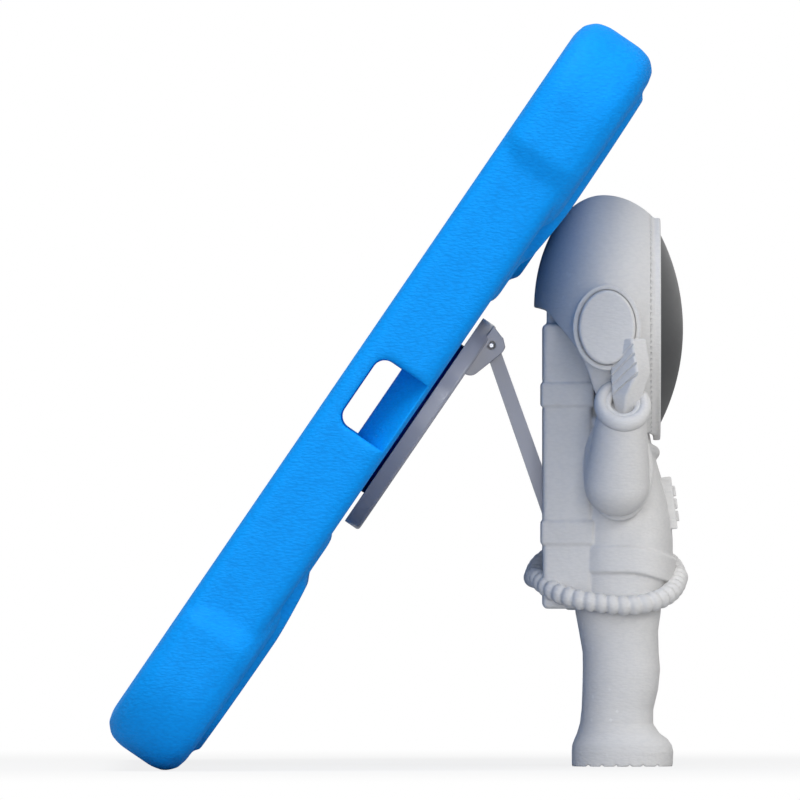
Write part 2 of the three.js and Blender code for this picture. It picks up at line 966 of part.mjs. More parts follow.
const socketBottom = socketPinHeight - socketFoot;
const socketTop = backpackTop - backpackEdgeRadius;
const bossInside = armWidth / 2 + gap;
const socketScrewPlaces = [
  [-socketScrewOffset, socketBottom + 12],
  [socketScrewOffset, socketBottom + 12],
  [-socketScrewOffset, socketTop - 12],
  [socketScrewOffset, socketTop - 12],
];

function socketTray() {
  const outside = socketHalfWidth + socketWall;
  const shell = box(
    [gap, -outside, socketBottom - socketWall],
    [socketFloor + socketWall, outside, socketTop],
  );
  const hollow = box(
    [-1, -socketHalfWidth, socketBottom],
    [socketFloor, socketHalfWidth, socketTop + 1],
  );
  const bosses = [-1, 1].map((side) => {
    const ends = [side * bossInside, side * (socketHalfWidth + 0.5)].sort(
      (a, b) => a - b,
    );
    return box(
      [gap, ends[0], socketBottom - 0.5],
      [socketFloor + 0.5, ends[1], socketPinHeight + socketFoot],
    );
  });
  const pinHole = rod(
    pinRadius + gap,
    -outside - 1,
    outside + 1,
    axisY,
    [socketPinDepth, 0, socketPinHeight],
    16,
  );
  const screwHoles = socketScrewPlaces.map(([y, z]) =>
    rod(socketScrewRadius + gap, 0, socketWall + 2, axisX, [socketFloor - 1, y, z], 12),
  );
  return cut(join(cut(shell, hollow), ...bosses), pinHole, ...screwHoles);
}

function socketScrew([y, z]) {
  return screw(
    [socketFloor, y, z],
    -gap - socketScrewHeadHeight,
    socketScrewHeadRadius,
    socketScrewHeadHeight,
    socketScrewRadius,
    socketScrewLength,
  );
}

// ---- Figure, in the same frame ----

// A ball with its own reach to the front, back, top and bottom.
function helmetBall() {
  const geometry = new THREE.SphereGeometry(1, 28, 18);
  const at = geometry.attributes.position;
  for (let i = 0; i < at.count; i++) {
    const [x, y, z] = [at.getX(i), at.getY(i), at.getZ(i)];
    at.setXYZ(
      i,
      x * (x > 0 ? helmetFront : helmetBack) + helmetDepth,
      y * helmetHalfWidth,
      z * (z > 0 ? helmetTop : helmetBottom) + helmetMiddleHeight,
    );
  }
  return solid(geometry);
}

// The helmet's lower edge sweeps from the nape down and forward to the chin.
function helmetSide() {
  const nape = helmetMiddleHeight;
  const behind = helmetDepth - helmetBack - 3;
  const shape = new THREE.Shape();
  shape.moveTo(behind, nape);
  shape.lineTo(0.6, nape);
  shape.quadraticCurveTo(1.3, nape - 0.2, 1.8, nape - 1.2);
  shape.lineTo(7.4, nape - 8.4);
  shape.quadraticCurveTo(10.8, nape - 13.5, 12.4, nape - 19.5);
  shape.quadraticCurveTo(15.5, nape - 28, rimPlane, nape - 31.6);
  shape.lineTo(rimPlane, nape + helmetTop + 3);
  shape.lineTo(behind, nape + helmetTop + 3);
  return shape;
}

// The oval that the front plane cuts out of the helmet, made larger or smaller by an offset.
function rimOutline(offset) {
  const share = Math.sqrt(1 - ((rimPlane - helmetDepth) / helmetFront) ** 2);
  const halfWidth = helmetHalfWidth * share + offset;
  const up = helmetTop * share + offset;
  const down = helmetBottom * share + offset;
  const shape = new THREE.Shape();
  shape.moveTo(halfWidth, helmetMiddleHeight);
  shape.absellipse(0, helmetMiddleHeight, halfWidth, up, 0, Math.PI);
  shape.absellipse(0, helmetMiddleHeight, halfWidth, down, Math.PI, 2 * Math.PI);
  return shape;
}

function helmet() {
  const shell = helmetBall().intersect(acrossPart(helmetSide(), helmetHalfWidth + 2));
  const rim = slab(
    rimOutline(rimProud),
    rimPlane - rimThickness,
    rimPlane,
    0.3,
    1,
    12,
  );
  const seat = visorPlug(gap, rimPlane - visorSeatDepth - gap, rimPlane + 1);
  return cut(join(shell, rim, ear(-1), ear(1)), seat);
}

// A straight oval plug on the visor's centre line.
function visorPlug(offset, back, front) {
  const oval = new THREE.Shape();
  oval.absellipse(0, visorHeight, visorHalfWidth + offset, visorHalfHeight + offset, 0, 2 * Math.PI);
  return slab(oval, back, front, 0, 1, 18);
}

// The visor sits in the rim and bulges out of it, a slice of a wide ball.
function visorBody() {
  const h = visorHalfHeight;
  const radius = (h * h + visorBulge * visorBulge) / (2 * visorBulge);
  const back = rimPlane - visorSeatDepth;
  const profile = [
    [0, back],
    [h, back],
  ];
  const steps = 5;
  const span = Math.asin(h / radius);
  for (let i = 0; i <= steps; i++) {
    const turn = span * (1 - i / steps);
    const out = radius * Math.cos(turn) - (radius - visorBulge);
    profile.push([i === steps ? 0 : radius * Math.sin(turn), rimPlane + out]);
  }
  const points = profile.map(([r, d]) => new THREE.Vector2(r, d));
  const geometry = new THREE.LatheGeometry(points, 36);
  geometry.applyQuaternion(
    new THREE.Quaternion().setFromUnitVectors(axisY, axisX),
  );
  geometry.scale(1, visorHalfWidth / visorHalfHeight, 1);
  return solid(geometry.translate(0, 0, visorHeight));
}

// An oval earpiece on a low ring, on the helmet's side.
function ear(side) {
  const face = helmetHalfWidth + earProud;
  const turnedEar = (grow, outer, round) => {
    const r = earHalfWidth + grow;
    const profile = [
      [0, helmetHalfWidth - 8],
      [r, helmetHalfWidth - 8],
      [r, outer - round],
      [r - 0.3 * round, outer - 0.3 * round],
      [r - round, outer],
      [0, outer],
    ];
    const points = profile.map(([a, b]) => new THREE.Vector2(a, b));
    const geometry = new THREE.LatheGeometry(points, 20);
    geometry.scale(1, 1, (earHalfHeight + grow) / (earHalfWidth + grow));
    if (side < 0) geometry.rotateX(Math.PI);
    return solid(geometry.translate(helmetDepth + 0.7, 0, earHeight));
  };
  return join(
    turnedEar(0, face, 1.3),
    turnedEar(earRingWidth, face - 1.4, 0.6),
  );
}

function torso() {
  // From the crotch up: height, then how far the front and the sides lie inside the widest ring.
  const insets = [
    [torsoTop - 59.6, 3.9, 2.9],
    [torsoTop - 58.4, 1.7, 0.9],
    [torsoTop - 55.5, 0, 0],
    [torsoTop - 41, 0, 0],
    [torsoTop - 31, 1.1, 0.8],
    [torsoTop - 25, 2.7, 1.6],
    [torsoTop - 19, 4.5, 2.6],
    [torsoTop - 11, 6.3, 3.8],
    [torsoTop, 9.9, 6.4],
  ];
  const rings = insets.map(([z, front, side]) => ({
    z,
    x: (torsoFront - front + torsoBack) / 2,
    depth: (torsoFront - front - torsoBack) / 2,
    width: torsoHalfWidth - side,
    power: 2.6,
  }));
  return stacked(rings, 26);
}

function belt() {
  const reach = torsoFront + beltProud;
  const ring = (z, inset) => ({
    z,
    x: (reach + torsoBack) / 2,
    depth: (reach - torsoBack) / 2 - inset,
    width: torsoHalfWidth + beltProud - inset,
    power: 2.6,
  });
  return stacked(
    [
      ring(beltTop - beltHeight, beltProud + 0.3),
      ring(beltTop - beltHeight + 0.5, 0),
      ring(beltTop - 0.5, 0),
      ring(beltTop, beltProud + 0.3),
    ],
    26,
  );
}

function backpack() {
  const r = backpackEdgeRadius;
  const side = roundedRectangle(
    [0, backpackBottom],
    [backpackDepth, backpackTop],
    r,
  );
  const pack = acrossPart(side, backpackHalfWidth, r - 0.1, 2, 3);
  const straps = [lowerStrapHeight, upperStrapHeight].map((z) =>
    acrossPart(
      roundedRectangle(
        [-strapProud, z - strapHeight / 2],
        [backpackDepth + strapProud, z + strapHeight / 2],
        1.1,
      ),
      backpackHalfWidth + strapProud,
      0.9,
      1,
      2,
    ),
  );
  const neck = acrossPart(
    roundedRectangle([1.1, backpackTop - 8], [backpackDepth, notchTop + 4], 1),
    backpackHalfWidth - 3,
    0.9,
    1,
    2,
  );
  return join(pack, neck, ...straps);
}

// Room for the socket, and above it for the folded hinge ears.
function socketPocket() {
  const outside = socketHalfWidth + socketWall + gap;
  return join(
    box(
      [-5, -outside, socketBottom - socketWall - gap],
      [socketFloor + socketWall + gap, outside, socketTop + gap],
    ),
    box([-5, -socketHalfWidth, socketTop], [socketFloor, socketHalfWidth, notchTop]),
  );
}

function leg(side) {
  const shape = [
    [0, 19.6, 12.3, 11.3],
    [3.6, 19.6, 12.35, 11.4],
    [5.2, 19.5, 12.1, 11.2],
    [6.6, 19.2, 11.3, 10.7],
    [8, 18.4, 10, 10.1],
    [10.5, 17.9, 8.8, 9.6],
    [14, 18.1, 8.6, 9.5],
    [19, 18.8, 9.1, 9.8],
    [24, 19.1, 9.35, 10],
    [28, 18.9, 9.2, 9.9],
    [33.5, 18.4, 9.6, 10],
    [38, 18.4, 10.4, 10.3],
    [43, 18.6, 10.6, 10.3],
  ];
  const rings = shape.map(([z, x, depth, width]) => ({
    z,
    x,
    y: side * legSpread,
    depth,
    width,
    power: z < 8 ? 2.5 : 2.2,
  }));
  const middle = shape[0][1];
  const treads = [];
  for (let i = 0; i < treadCount; i++) {
    const x = middle + (i - (treadCount - 1) / 2) * treadPitch;
    treads.push(box([x - treadSize, -30, -1], [x + treadSize, 30, treadSize]));
  }
  return cut(stacked(rings, 20), ...treads);
}

// A thick rope laid round the hips, its turns like a row of beads.
function rope() {
  const stepsPerBead = 2;
  const steps = ropeBeadCount * stepsPerBead;
  const sides = 6;
  const power = 2.7;
  const slope = ropeDrop / (ropeHalfWidth - ropeLevel);
  const line = [];
  for (let i = 0; i < steps; i++) {
    const turn = (2 * Math.PI * i) / steps;
    const [c, s] = [Math.cos(turn), Math.sin(turn)];
    const y = ropeHalfWidth * Math.sign(s) * Math.abs(s) ** (2 / power);
    line.push(
      new THREE.Vector3(
        ropeMiddle + ropeHalfDepth * Math.sign(c) * Math.abs(c) ** (2 / power),
        y,
        ropeHeight + Math.sign(y) * Math.max(Math.abs(y) - ropeLevel, 0) * slope,
      ),
    );
  }
  const path = new THREE.CatmullRomCurve3(line, true).getSpacedPoints(steps);
  const middle = new THREE.Vector3(ropeMiddle, 0, ropeHeight);
  const positions = [];
  const triangles = [];
  for (let i = 0; i < steps; i++) {
    const radius = i % stepsPerBead === 0 ? ropeRadius : ropeRadius - ropeGroove;
    const tangent = path[(i + 1) % steps]
      .clone()
      .sub(path[(i - 1 + steps) % steps])
      .normalize();
    const outward = path[i].clone().sub(middle);
    outward.addScaledVector(tangent, -outward.dot(tangent)).normalize();
    const up = new THREE.Vector3().crossVectors(outward, tangent);
    for (let j = 0; j < sides; j++) {
      const turn = (2 * Math.PI * j) / sides;
      const p = path[i]
        .clone()
        .addScaledVector(outward, radius * Math.cos(turn))
        .addScaledVector(up, radius * Math.sin(turn));
      positions.push(p.x, p.y, p.z);
      const next = (j + 1) % sides;
      const [here, there] = [i * sides, ((i + 1) % steps) * sides];
      triangles.push(here + j, there + j, there + next);
      triangles.push(here + j, there + next, here + next);
    }
  }
  const geometry = new THREE.BufferGeometry();
  geometry.setAttribute(
    "position",
    new THREE.Float32BufferAttribute(positions, 3),
  );
  geometry.setIndex(triangles);
  return solid(geometry);
}

// A bent arm: out and down to the elbow, then up to the cuff, with a mitten fist above it.
function figureArm(side) {
  const shoulder = [17, side * 15.5, 80];
  const elbow = [18.2, side * 25, 70];
  const wrist = [19.8, side * 31.4, 87.5];
  const upper = limb(shoulder, 7, elbow, 8);
  const fore = limb(elbow, 8, wrist, 6.1);
  const aim = new THREE.Vector3(...wrist)
    .sub(new THREE.Vector3(...elbow))
    .normalize();
  const turnTo = new THREE.Quaternion().setFromUnitVectors(axisZ, aim);
  const cuffAt = new THREE.Vector3(...wrist).addScaledVector(aim, 2.6);
  const cuff = new THREE.TorusGeometry(cuffRadius, cuffTube, 6, 16)
    .applyQuaternion(turnTo)
    .translate(...cuffAt);
  const sleeve = new THREE.CylinderGeometry(5, 5.6, 6, 12)
    .rotateX(Math.PI / 2)
    .applyQuaternion(turnTo)
    .translate(...cuffAt.clone().addScaledVector(aim, -2));
  return join(upper, fore, solid(cuff), solid(sleeve), fist(side, cuffAt));
}

function fist(side, cuffAt) {
  const tall = 16.5;
  const rings = [
    { z: -1, depth: 3, width: 3.2 },
    { z: 2.5, depth: 3.3, width: 3.4 },
    { z: 10, depth: 4.7, width: 4.1 },
    { z: tall - 2, depth: 4.4, width: 3.9 },
    { z: tall, depth: 3, width: 2.7 },
  ].map((ring) => ({ ...ring, x: 0, power: 3 }));
  const leanForward = new THREE.Matrix4().makeRotationY(radians(9));
  const place = new THREE.Matrix4()
    .makeTranslation(cuffAt.x + 0.4, cuffAt.y + side * 1, cuffAt.z - 1)
    .multiply(leanForward);
  return stacked(rings, 14).transform(place.elements);
}

function chestBox() {
  const w = chestBoxWidth / 2;
  const h = chestBoxHeight / 2;
  const t = chestBoxThickness;
  const plate = slab(roundedRectangle([-w, -h], [w, h], 0.8), -t, 0, 0.3, 1, 2);
  const knobs = [];
  for (const row of [-1, 0, 1]) {
    for (const column of [-1, 1]) {
      const at = [0, (column * w) / 2.1, row * (knobSize + 0.6) - 0.3];
      knobs.push(
        box(
          [-0.5, at[1] - knobSize * 0.8, at[2] - knobSize / 2],
          [knobProud, at[1] + knobSize * 0.8, at[2] + knobSize / 2],
        ),
      );
    }
  }
  const place = new THREE.Matrix4()
    .makeTranslation(32.2, 0, 65.1)
    .multiply(new THREE.Matrix4().makeRotationY(-radians(chestBoxLean)));
  return join(plate, ...knobs).transform(place.elements);
}

// A round collar under the helmet, lower at the front.
function collar() {
  const geometry = new THREE.TorusGeometry(1, 0.12, 6, 24);
  const at = geometry.attributes.position;
  const dip = 0.42;
  for (let i = 0; i < at.count; i++) {
    const [x, y, z] = [at.getX(i), at.getY(i), at.getZ(i)];
    const out = Math.hypot(x, y);
    const tube = ((out - 1) / 0.12) * collarTube;
    const forward = (x / out) * (collarHalfDepth + tube);
    const aside = (y / out) * (collarHalfWidth + tube);
    const height = collarHeight + (z / 0.12) * collarTube - forward * dip;
    at.setXYZ(i, collarMiddle + forward, aside, height);
  }
  return solid(geometry);
}

function figureBody() {
  const whole = join(
    backpack(),
    torso(),
    belt(),
    helmet(),
    collar(),
    leg(-1),
    leg(1),
    rope(),
    chestBox(),
    figureArm(-1),
    figureArm(1),
  );
  const screwHoles = socketScrewPlaces.map(([y, z]) =>
    rod(
      socketScrewRadius + gap,
      0,
      socketScrewLength + gap,
      axisX,
      [socketFloor, y, z],
      12,
    ),
  );
  return cut(whole, socketPocket(), ...screwHoles);
}

// ---- Assembly ----

const part = new THREE.Group();

const caseGroup = new THREE.Group();
caseGroup.position.set(-originX, 0, caseLift);
caseGroup.rotation.y = leanAngle;
caseGroup.add(
  piece("foam_case", foamCase(), blueFoam),
  piece("swivel_bush", swivelBush(), navyPlastic),
  piece("inner_plate", innerPlate(), navyPlastic),
);
plateScrewAngles.forEach((degrees, i) =>
  caseGroup.add(piece(`plate_screw_${i + 1}`, plateScrew(degrees), steel)),
);
caseGroup.add(
  piece("swivel_disc", discSolid(), greyPlastic),
  piece("retaining_washer", retainer(), steel),
  piece("hub_screw", hubScrew(), steel),
  piece("hinge_pin", pin(earOutside, [hingeDepth, 0, hingeRise]), steel),
);
part.add(caseGroup);

const armGroup = new THREE.Group();
armGroup.position.set(upperPin.x - originX, 0, upperPin.y);
armGroup.rotation.y = -armAngle;
armGroup.add(piece("stand_arm", armSolid(), greyPlastic));
part.add(armGroup);

const figureGroup = new THREE.Group();
figureGroup.position.set(figureX - originX, 0, 0);
figureGroup.add(
  piece("figure_body", figureBody(), whiteFoam),
  piece("visor", visorBody(), visorPlastic),
  piece("back_socket", socketTray(), greyPlastic),
  piece(
    "arm_pin",
    pin(socketHalfWidth + socketWall, [socketPinDepth, 0, socketPinHeight]),
    steel,
  ),
);
socketScrewPlaces.forEach((place, i) =>
  figureGroup.add(piece(`socket_screw_${i + 1}`, socketScrew(place), steel)),
);
part.add(figureGroup);

export default part;
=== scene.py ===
import contextlib
import math

import bmesh
import bpy
from mathutils import Matrix, Vector


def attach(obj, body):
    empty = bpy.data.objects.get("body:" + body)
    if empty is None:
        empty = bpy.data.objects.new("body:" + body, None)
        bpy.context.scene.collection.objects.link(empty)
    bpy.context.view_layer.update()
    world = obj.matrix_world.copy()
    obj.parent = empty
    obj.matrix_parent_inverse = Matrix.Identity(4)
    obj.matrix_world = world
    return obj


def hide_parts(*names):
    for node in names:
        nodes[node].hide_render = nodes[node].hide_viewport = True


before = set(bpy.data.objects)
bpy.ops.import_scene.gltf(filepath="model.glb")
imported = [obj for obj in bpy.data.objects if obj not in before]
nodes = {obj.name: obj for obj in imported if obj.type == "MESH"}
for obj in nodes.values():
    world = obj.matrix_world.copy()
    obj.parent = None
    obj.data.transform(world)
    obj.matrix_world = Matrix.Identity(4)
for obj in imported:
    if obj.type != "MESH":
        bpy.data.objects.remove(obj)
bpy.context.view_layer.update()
mm = 0.001

# ---- Camera ----
# The part is seen level from its -Y side, through a very long lens, as in the photograph.

view_width = 196.4 * mm  # seen at the near wall of the case and the near arm of the figure
view_plane = -70 * mm
view_height = 90.5 * mm
half_view_tangent = 0.010996
sensor_width = 36

view_distance = view_width / 2 / half_view_tangent
bpy.ops.object.camera_add(
    location=(0, view_plane - view_distance, view_height),
    rotation=(math.pi / 2, 0, 0),
)
camera = bpy.context.object
camera.data.sensor_width = sensor_width
camera.data.lens = sensor_width / 2 / half_view_tangent
camera.data.clip_end = 60
bpy.context.scene.camera = camera
bpy.context.scene.view_settings.view_transform = "Standard"


# ---- Foam case ----
# One thick moulding of blue EVA foam with a fine leather grain, lipped over the tablet's border,
# with fat bumpers at its corners and low pads on its back. It leans back on its lower bumpers.

case_voxel = 0.95 * mm
case_lean = math.radians(34.33)
case_middle = Vector((-13.692, 0, 97.398)) * mm
case_back = 19.9 * mm  # depths are from the case's front
cavity_floor = 11.3 * mm
cavity_end = 125.6 * mm
case_end = 141.3 * mm
port_front = 5.0 * mm
port_middle = -1.08 * mm
port_half = 9.72 * mm
port_corner = 3.2 * mm
merge_distance = 0.002 * mm
touching = 1e-6  # points closer than this are taken to lie together
X, Y, Z = 0, 1, 2
origin = (0, 0, 0)


def clear():
    """Leaves edit mode and deselects everything."""
    if bpy.context.object and bpy.context.object.mode != "OBJECT":
        bpy.ops.object.mode_set(mode="OBJECT")
    bpy.ops.object.select_all(action="DESELECT")


def take(*pieces):
    """Selects these pieces alone, the first of them active."""
    clear()
    for each in pieces:
        each.select_set(True)
    bpy.context.view_layer.objects.active = pieces[0]


@contextlib.contextmanager
def editing(piece):
    """Edit mode on the piece, with all of it selected."""
    take(piece)
    bpy.ops.object.mode_set(mode="EDIT")
    bpy.ops.mesh.select_all(action="SELECT")
    yield
    bpy.ops.object.mode_set(mode="OBJECT")


def settle(piece):
    """Puts the piece's place into its mesh."""
    take(piece)
    bpy.ops.object.transform_apply(location=True, rotation=True, scale=True)
    return piece


def placed(piece, place, turn=origin):
    """Turns a piece made at the origin, takes it to its place, and puts both into its mesh."""
    piece.rotation_mode = "XYZ"
    piece.rotation_euler = turn
    piece.location = place
    return settle(piece)


def lean_back(piece):
    """Takes a piece made upright, with the case's middle at the origin, to its place on the case."""
    return placed(piece, case_middle, (0, case_lean, 0))


def copied(piece, name):
    """A copy of the piece with a mesh of its own."""
    twin = piece.copy()
    twin.data = piece.data.copy()
    twin.name = name
    twin.parent = None
    bpy.context.scene.collection.objects.link(twin)
    return twin


def upright_copy(node, name):
    """A merged copy of a node, turned upright with the case's middle at the origin."""
    piece = copied(nodes[node], name)
    with editing(piece):
        bpy.ops.mesh.remove_doubles(threshold=merge_distance)
    turn = Matrix.Rotation(-case_lean, 4, "Y") @ Matrix.Translation(-case_middle)
    piece.matrix_world = turn @ piece.matrix_world
    return settle(piece)


def modified(piece, kind, **settings):
    """Adds a modifier with these settings and applies it."""
    take(piece)
    step = piece.modifiers.new("step", kind)
    for setting, value in settings.items():
        setattr(step, setting, value)
    bpy.ops.object.modifier_apply(modifier=step.name)
    return piece


def foamed(piece, voxel, rounds, most=190_000):
    """Makes one soft skin of the piece's overlapping shells, as foam comes out of its mould."""
    modified(piece, "REMESH", mode="VOXEL", voxel_size=voxel)
    modified(piece, "SMOOTH", factor=0.5, iterations=rounds)
    triangles = 2 * len(piece.data.polygons)
    if triangles > most:
        modified(piece, "DECIMATE", ratio=most / triangles)
    bpy.ops.object.shade_smooth()
    return piece


def sharp_smooth(piece, degrees=35):
    """Smooth shading with crisp edges wherever the faces meet at more than this angle."""
    take(piece)
    bpy.ops.object.shade_smooth_by_angle(angle=math.radians(degrees))
    return modified(piece, "WEIGHTED_NORMAL", keep_sharp=True)


def merged(piece, *others, operation="UNION"):
    """Unites the others with the piece, or carves them out of it."""
    for other in others:
        modified(piece, "BOOLEAN", operation=operation, solver="EXACT", object=other)
        bpy.data.objects.remove(other)
    return piece


def carved(piece, *others):
    return merged(piece, *others, operation="DIFFERENCE")


def joined(piece, *others):
    """Makes the others loose shells of the piece."""
    take(piece, *others)
    bpy.ops.object.join()
    return piece


def pick(piece, kind, test):
    """In edit mode, selects the vertices, edges or faces of the piece that pass the test."""
    bpy.ops.mesh.select_mode(type=kind)
    bpy.ops.mesh.select_all(action="DESELECT")
    mesh = bmesh.from_edit_mesh(piece.data)
    lists = {"VERT": mesh.verts, "EDGE": mesh.edges, "FACE": mesh.faces}
    for item in [item for item in lists[kind] if test(item)]:
        item.select_set(True)
    mesh.select_flush_mode()
    bmesh.update_edit_mesh(piece.data)


def everything(item):
    """A test that all pass."""
    return True


def lies_at(axis, value):
    """A test for edges and faces that lie wholly at this value on an axis."""
    return lambda item: all(abs(v.co[axis] - value) < touching for v in item.verts)


def run_along(edge, axis):
    """How far an edge runs along an axis."""
    return abs(edge.verts[0].co[axis] - edge.verts[1].co[axis])


def middle(item):
    """The middle of an edge or face."""
    return sum((v.co for v in item.verts), Vector()) / len(item.verts)


def moved(piece, test, value):
    """Moves the vertices of the piece that pass the test."""
    with editing(piece):
        pick(piece, "VERT", test)
        bpy.ops.transform.translate(value=value)
    return piece


def rounded(piece, test, width, segments=3):
    """Bevels the edges that pass the test."""
    with editing(piece):
        pick(piece, "EDGE", test)
        bpy.ops.mesh.bevel(offset=width, segments=segments, profile=0.5, clamp_overlap=True)
    return piece


def face_outwards():
    """In edit mode, turns all faces of the piece outwards."""
    bpy.ops.mesh.select_all(action="SELECT")
    bpy.ops.mesh.normals_make_consistent(inside=False)


def new_piece(name):
    """Names the primitive that was just added, and puts its place into its mesh."""
    piece = bpy.context.object
    piece.name = name
    return settle(piece)


def block(name, low, high):
    """A cube primitive at its size and place."""
    low, high = Vector(low), Vector(high)
    clear()
    bpy.ops.mesh.primitive_cube_add(size=1, location=(low + high) / 2)
    bpy.context.object.scale = high - low
    return new_piece(name)


def drum(name, radius, start, end, sides=96):
    """A cylinder primitive from one point to another."""
    start, end = Vector(start), Vector(end)
    clear()
    bpy.ops.mesh.primitive_cylinder_add(
        vertices=sides,
        radius=radius,
        depth=(end - start).length,
        location=(start + end) / 2,
        rotation=(end - start).to_track_quat("Z", "Y").to_euler(),
    )
    return new_piece(name)


def drawn(name, outline, low, high):
    """A side outline of (x, z) points, filled and extruded across from low to high in y."""
    clear()
    bpy.ops.mesh.primitive_circle_add(vertices=len(outline), fill_type="NGON")
    piece = new_piece(name)
    for vertex, (x, z) in zip(piece.data.vertices, outline):
        vertex.co = (x, low, z)
    with editing(piece):
        bpy.ops.mesh.extrude_region_move(TRANSFORM_OT_translate={"value": (0, high - low, 0)})
        face_outwards()
    return piece


def curved(start, bend, end, steps=8):
    """Points of a bend from start to end, without its first point."""
    points = []
    for i in range(1, steps + 1):
        t = i / steps
        shares = ((1 - t) ** 2, 2 * t * (1 - t), t * t)
        points.append(tuple(sum(s * p[k] for s, p in zip(shares, (start, bend, end))) for k in (0, 1)))
    return points


class Value:
    """An output of a shader node. Arithmetic on it adds the nodes that work it out."""

    def __init__(self, nodes_of, socket):
        self.nodes_of = nodes_of
        self.socket = socket

    def __add__(self, other):
        return self.nodes_of.maths("ADD", self, other)

    def __sub__(self, other):
        return self.nodes_of.maths("SUBTRACT", self, other)

    def __rsub__(self, other):
        return self.nodes_of.maths("SUBTRACT", other, self)

    def __mul__(self, other):
        return self.nodes_of.maths("MULTIPLY", self, other)

    __radd__ = __add__
    __rmul__ = __mul__


class Nodes:
    """The node tree of a material or a world."""

    def __init__(self, owner):
        self.owner = owner
        owner.use_nodes = True
        self.tree = owner.node_tree
        self.tree.nodes.clear()

    def node(self, kind, settings, inputs, output=0):
        """Adds a node with its settings and its inputs, each a value or a link."""
        made = self.tree.nodes.new(kind)
        for setting, value in settings.items():
            setattr(made, setting, value)
        pairs = inputs.items() if isinstance(inputs, dict) else enumerate(inputs)
        for socket, value in pairs:
            if isinstance(value, Value):
                self.tree.links.new(value.socket, made.inputs[socket])
            else:
                made.inputs[socket].default_value = value
        return Value(self, made.outputs[output]) if len(made.outputs) else None

    def maths(self, operation, *values):
        return self.node("ShaderNodeMath", {"operation": operation}, values)


class Finish(Nodes):
    """A material, laid out on the piece's own coordinates."""

    def __init__(self, name):
        super().__init__(bpy.data.materials.new(name))
        self.place = self.node("ShaderNodeTexCoord", {}, {}, "Object")

    def noise(self, scale, detail=3.0, roughness=0.55, place=None):
        inputs = {
            "Vector": place or self.place,
            "Scale": scale,
            "Detail": detail,
            "Roughness": roughness,
        }
        return self.node("ShaderNodeTexNoise", {}, inputs)

    def stretched(self, scale, turn=origin):
        inputs = {"Vector": self.place, "Rotation": turn, "Scale": scale}
        return self.node("ShaderNodeMapping", {}, inputs)

    def stepped(self, value, low, high):
        """Nought below low, one above high, and a smooth slope between them."""
        settings = {"interpolation_type": "SMOOTHSTEP"}
        inputs = {"Value": value, "From Min": low, "From Max": high}
        return self.node("ShaderNodeMapRange", settings, inputs)

    def mix(self, share, first, second):
        inputs = {0: share, 6: first, 7: second}
        return self.node("ShaderNodeMix", {"data_type": "RGBA"}, inputs, 2)

    def relief(self, height, depth, strength=1.0):
        inputs = {"Height": height, "Distance": depth, "Strength": strength}
        return self.node("ShaderNodeBump", {}, inputs, "Normal")

    def shade(self, colour, roughness, normal, **fixed):
        """Ends the material with its surface, and gives it back."""
        inputs = {"Base Color": colour, "Roughness": roughness, "Normal": normal}
        inputs.update({name.replace("_", " "): value for name, value in fixed.items()})
        skin = self.node("ShaderNodeBsdfPrincipled", {}, inputs)
        self.node("ShaderNodeOutputMaterial", {}, {"Surface": skin})
        return self.owner


def colour(red, green, blue):
    """A colour as it shows on a screen, from 0 to 255, for a shader socket."""
    parts = [part / 255 for part in (red, green, blue)]
    linear = [p / 12.92 if p <= 0.04045 else ((p + 0.055) / 1.055) ** 2.4 for p in parts]
    return (*linear, 1)


def coated(piece, material):
    """Gives the piece this material alone."""
    piece.data.materials.clear()
    piece.data.materials.append(material)


def foam(name, plain, deep, edge_highlight_colour, grain, gloss, marks=None):
    """Closed-cell foam from a grained mould: small pebbles and fine creases. Its edges are painted paler in
    patches, a painted highlight, and its grain's hollows are painted darker, a painted shade, over a random
    mottle.
    """
    grains = 1250  # per metre
    finish = Finish(name)
    wavy = finish.noise(160, 2)
    creased = finish.stretched((0.6, 0.6, 1.5))
    pebbles = finish.node(
        "ShaderNodeTexVoronoi",
        {"feature": "SMOOTH_F1"},
        {"Vector": creased, "Scale": grains, "Smoothness": 0.35},
        "Distance",
    )
    creases = finish.noise(grains, 3, 0.65, creased)
    pores = finish.noise(3200, 2)
    height = creases * 0.9 - pebbles * 0.7 + pores * 0.12
    if marks:
        pressed = marks(finish)
        height = height - pressed * 4
    cloud = finish.noise(22, 4)
    pointed = finish.node("ShaderNodeNewGeometry", {}, {}, "Pointiness")
    edge = finish.stepped(pointed, 0.515, 0.58)
    # Convex edges, in patches, are painted paler: a painted highlight where the edges catch the light. It
    # also makes them a little glossier.
    painted_edge_highlight = edge * finish.stepped(cloud, 0.42, 0.7) * 0.5
    # Darker in the grain's hollows, a painted shade, and in broad random patches of tone.
    valley_shade_and_mottle = finish.stepped(pebbles, 0.3, 0.8) * 0.3 + finish.stepped(wavy, 0.45, 0.8) * 0.15
    body = finish.mix(valley_shade_and_mottle, plain, deep)
    body = finish.mix(painted_edge_highlight, body, edge_highlight_colour)
    # The stitch marks are also painted darker: a painted shade in their hollows.
    if marks:
        body = finish.mix(pressed * 0.3, body, deep)
    roughness = 0.55 + cloud * 0.12 + pores * 0.08 - painted_edge_highlight * 0.2
    normal = finish.relief(height, grain * mm, 0.85)
    return finish.shade(body, roughness, normal, Specular_IOR_Level=gloss)


# The third colour is the painted highlight on the edges; the second is the darker tone of the painted shade
# in the grain's hollows.
blue_foam = foam(
    "blue_foam",
    colour(0, 136, 223),
    colour(0, 115, 196),
    colour(22, 150, 232),
    grain=0.16,
    gloss=0.1,
)

case = upright_copy("foam_case", "case_foam")


def round_a_port(vertex):
    return abs(vertex.co.y) > cavity_end - 1 * mm and abs(vertex.co.z) < port_half + 2 * mm


def at_port_corner(edge):
    at_front = abs(middle(edge).x - port_front) < touching
    return at_front and abs(abs(middle(edge).z - port_middle) - port_half) < touching


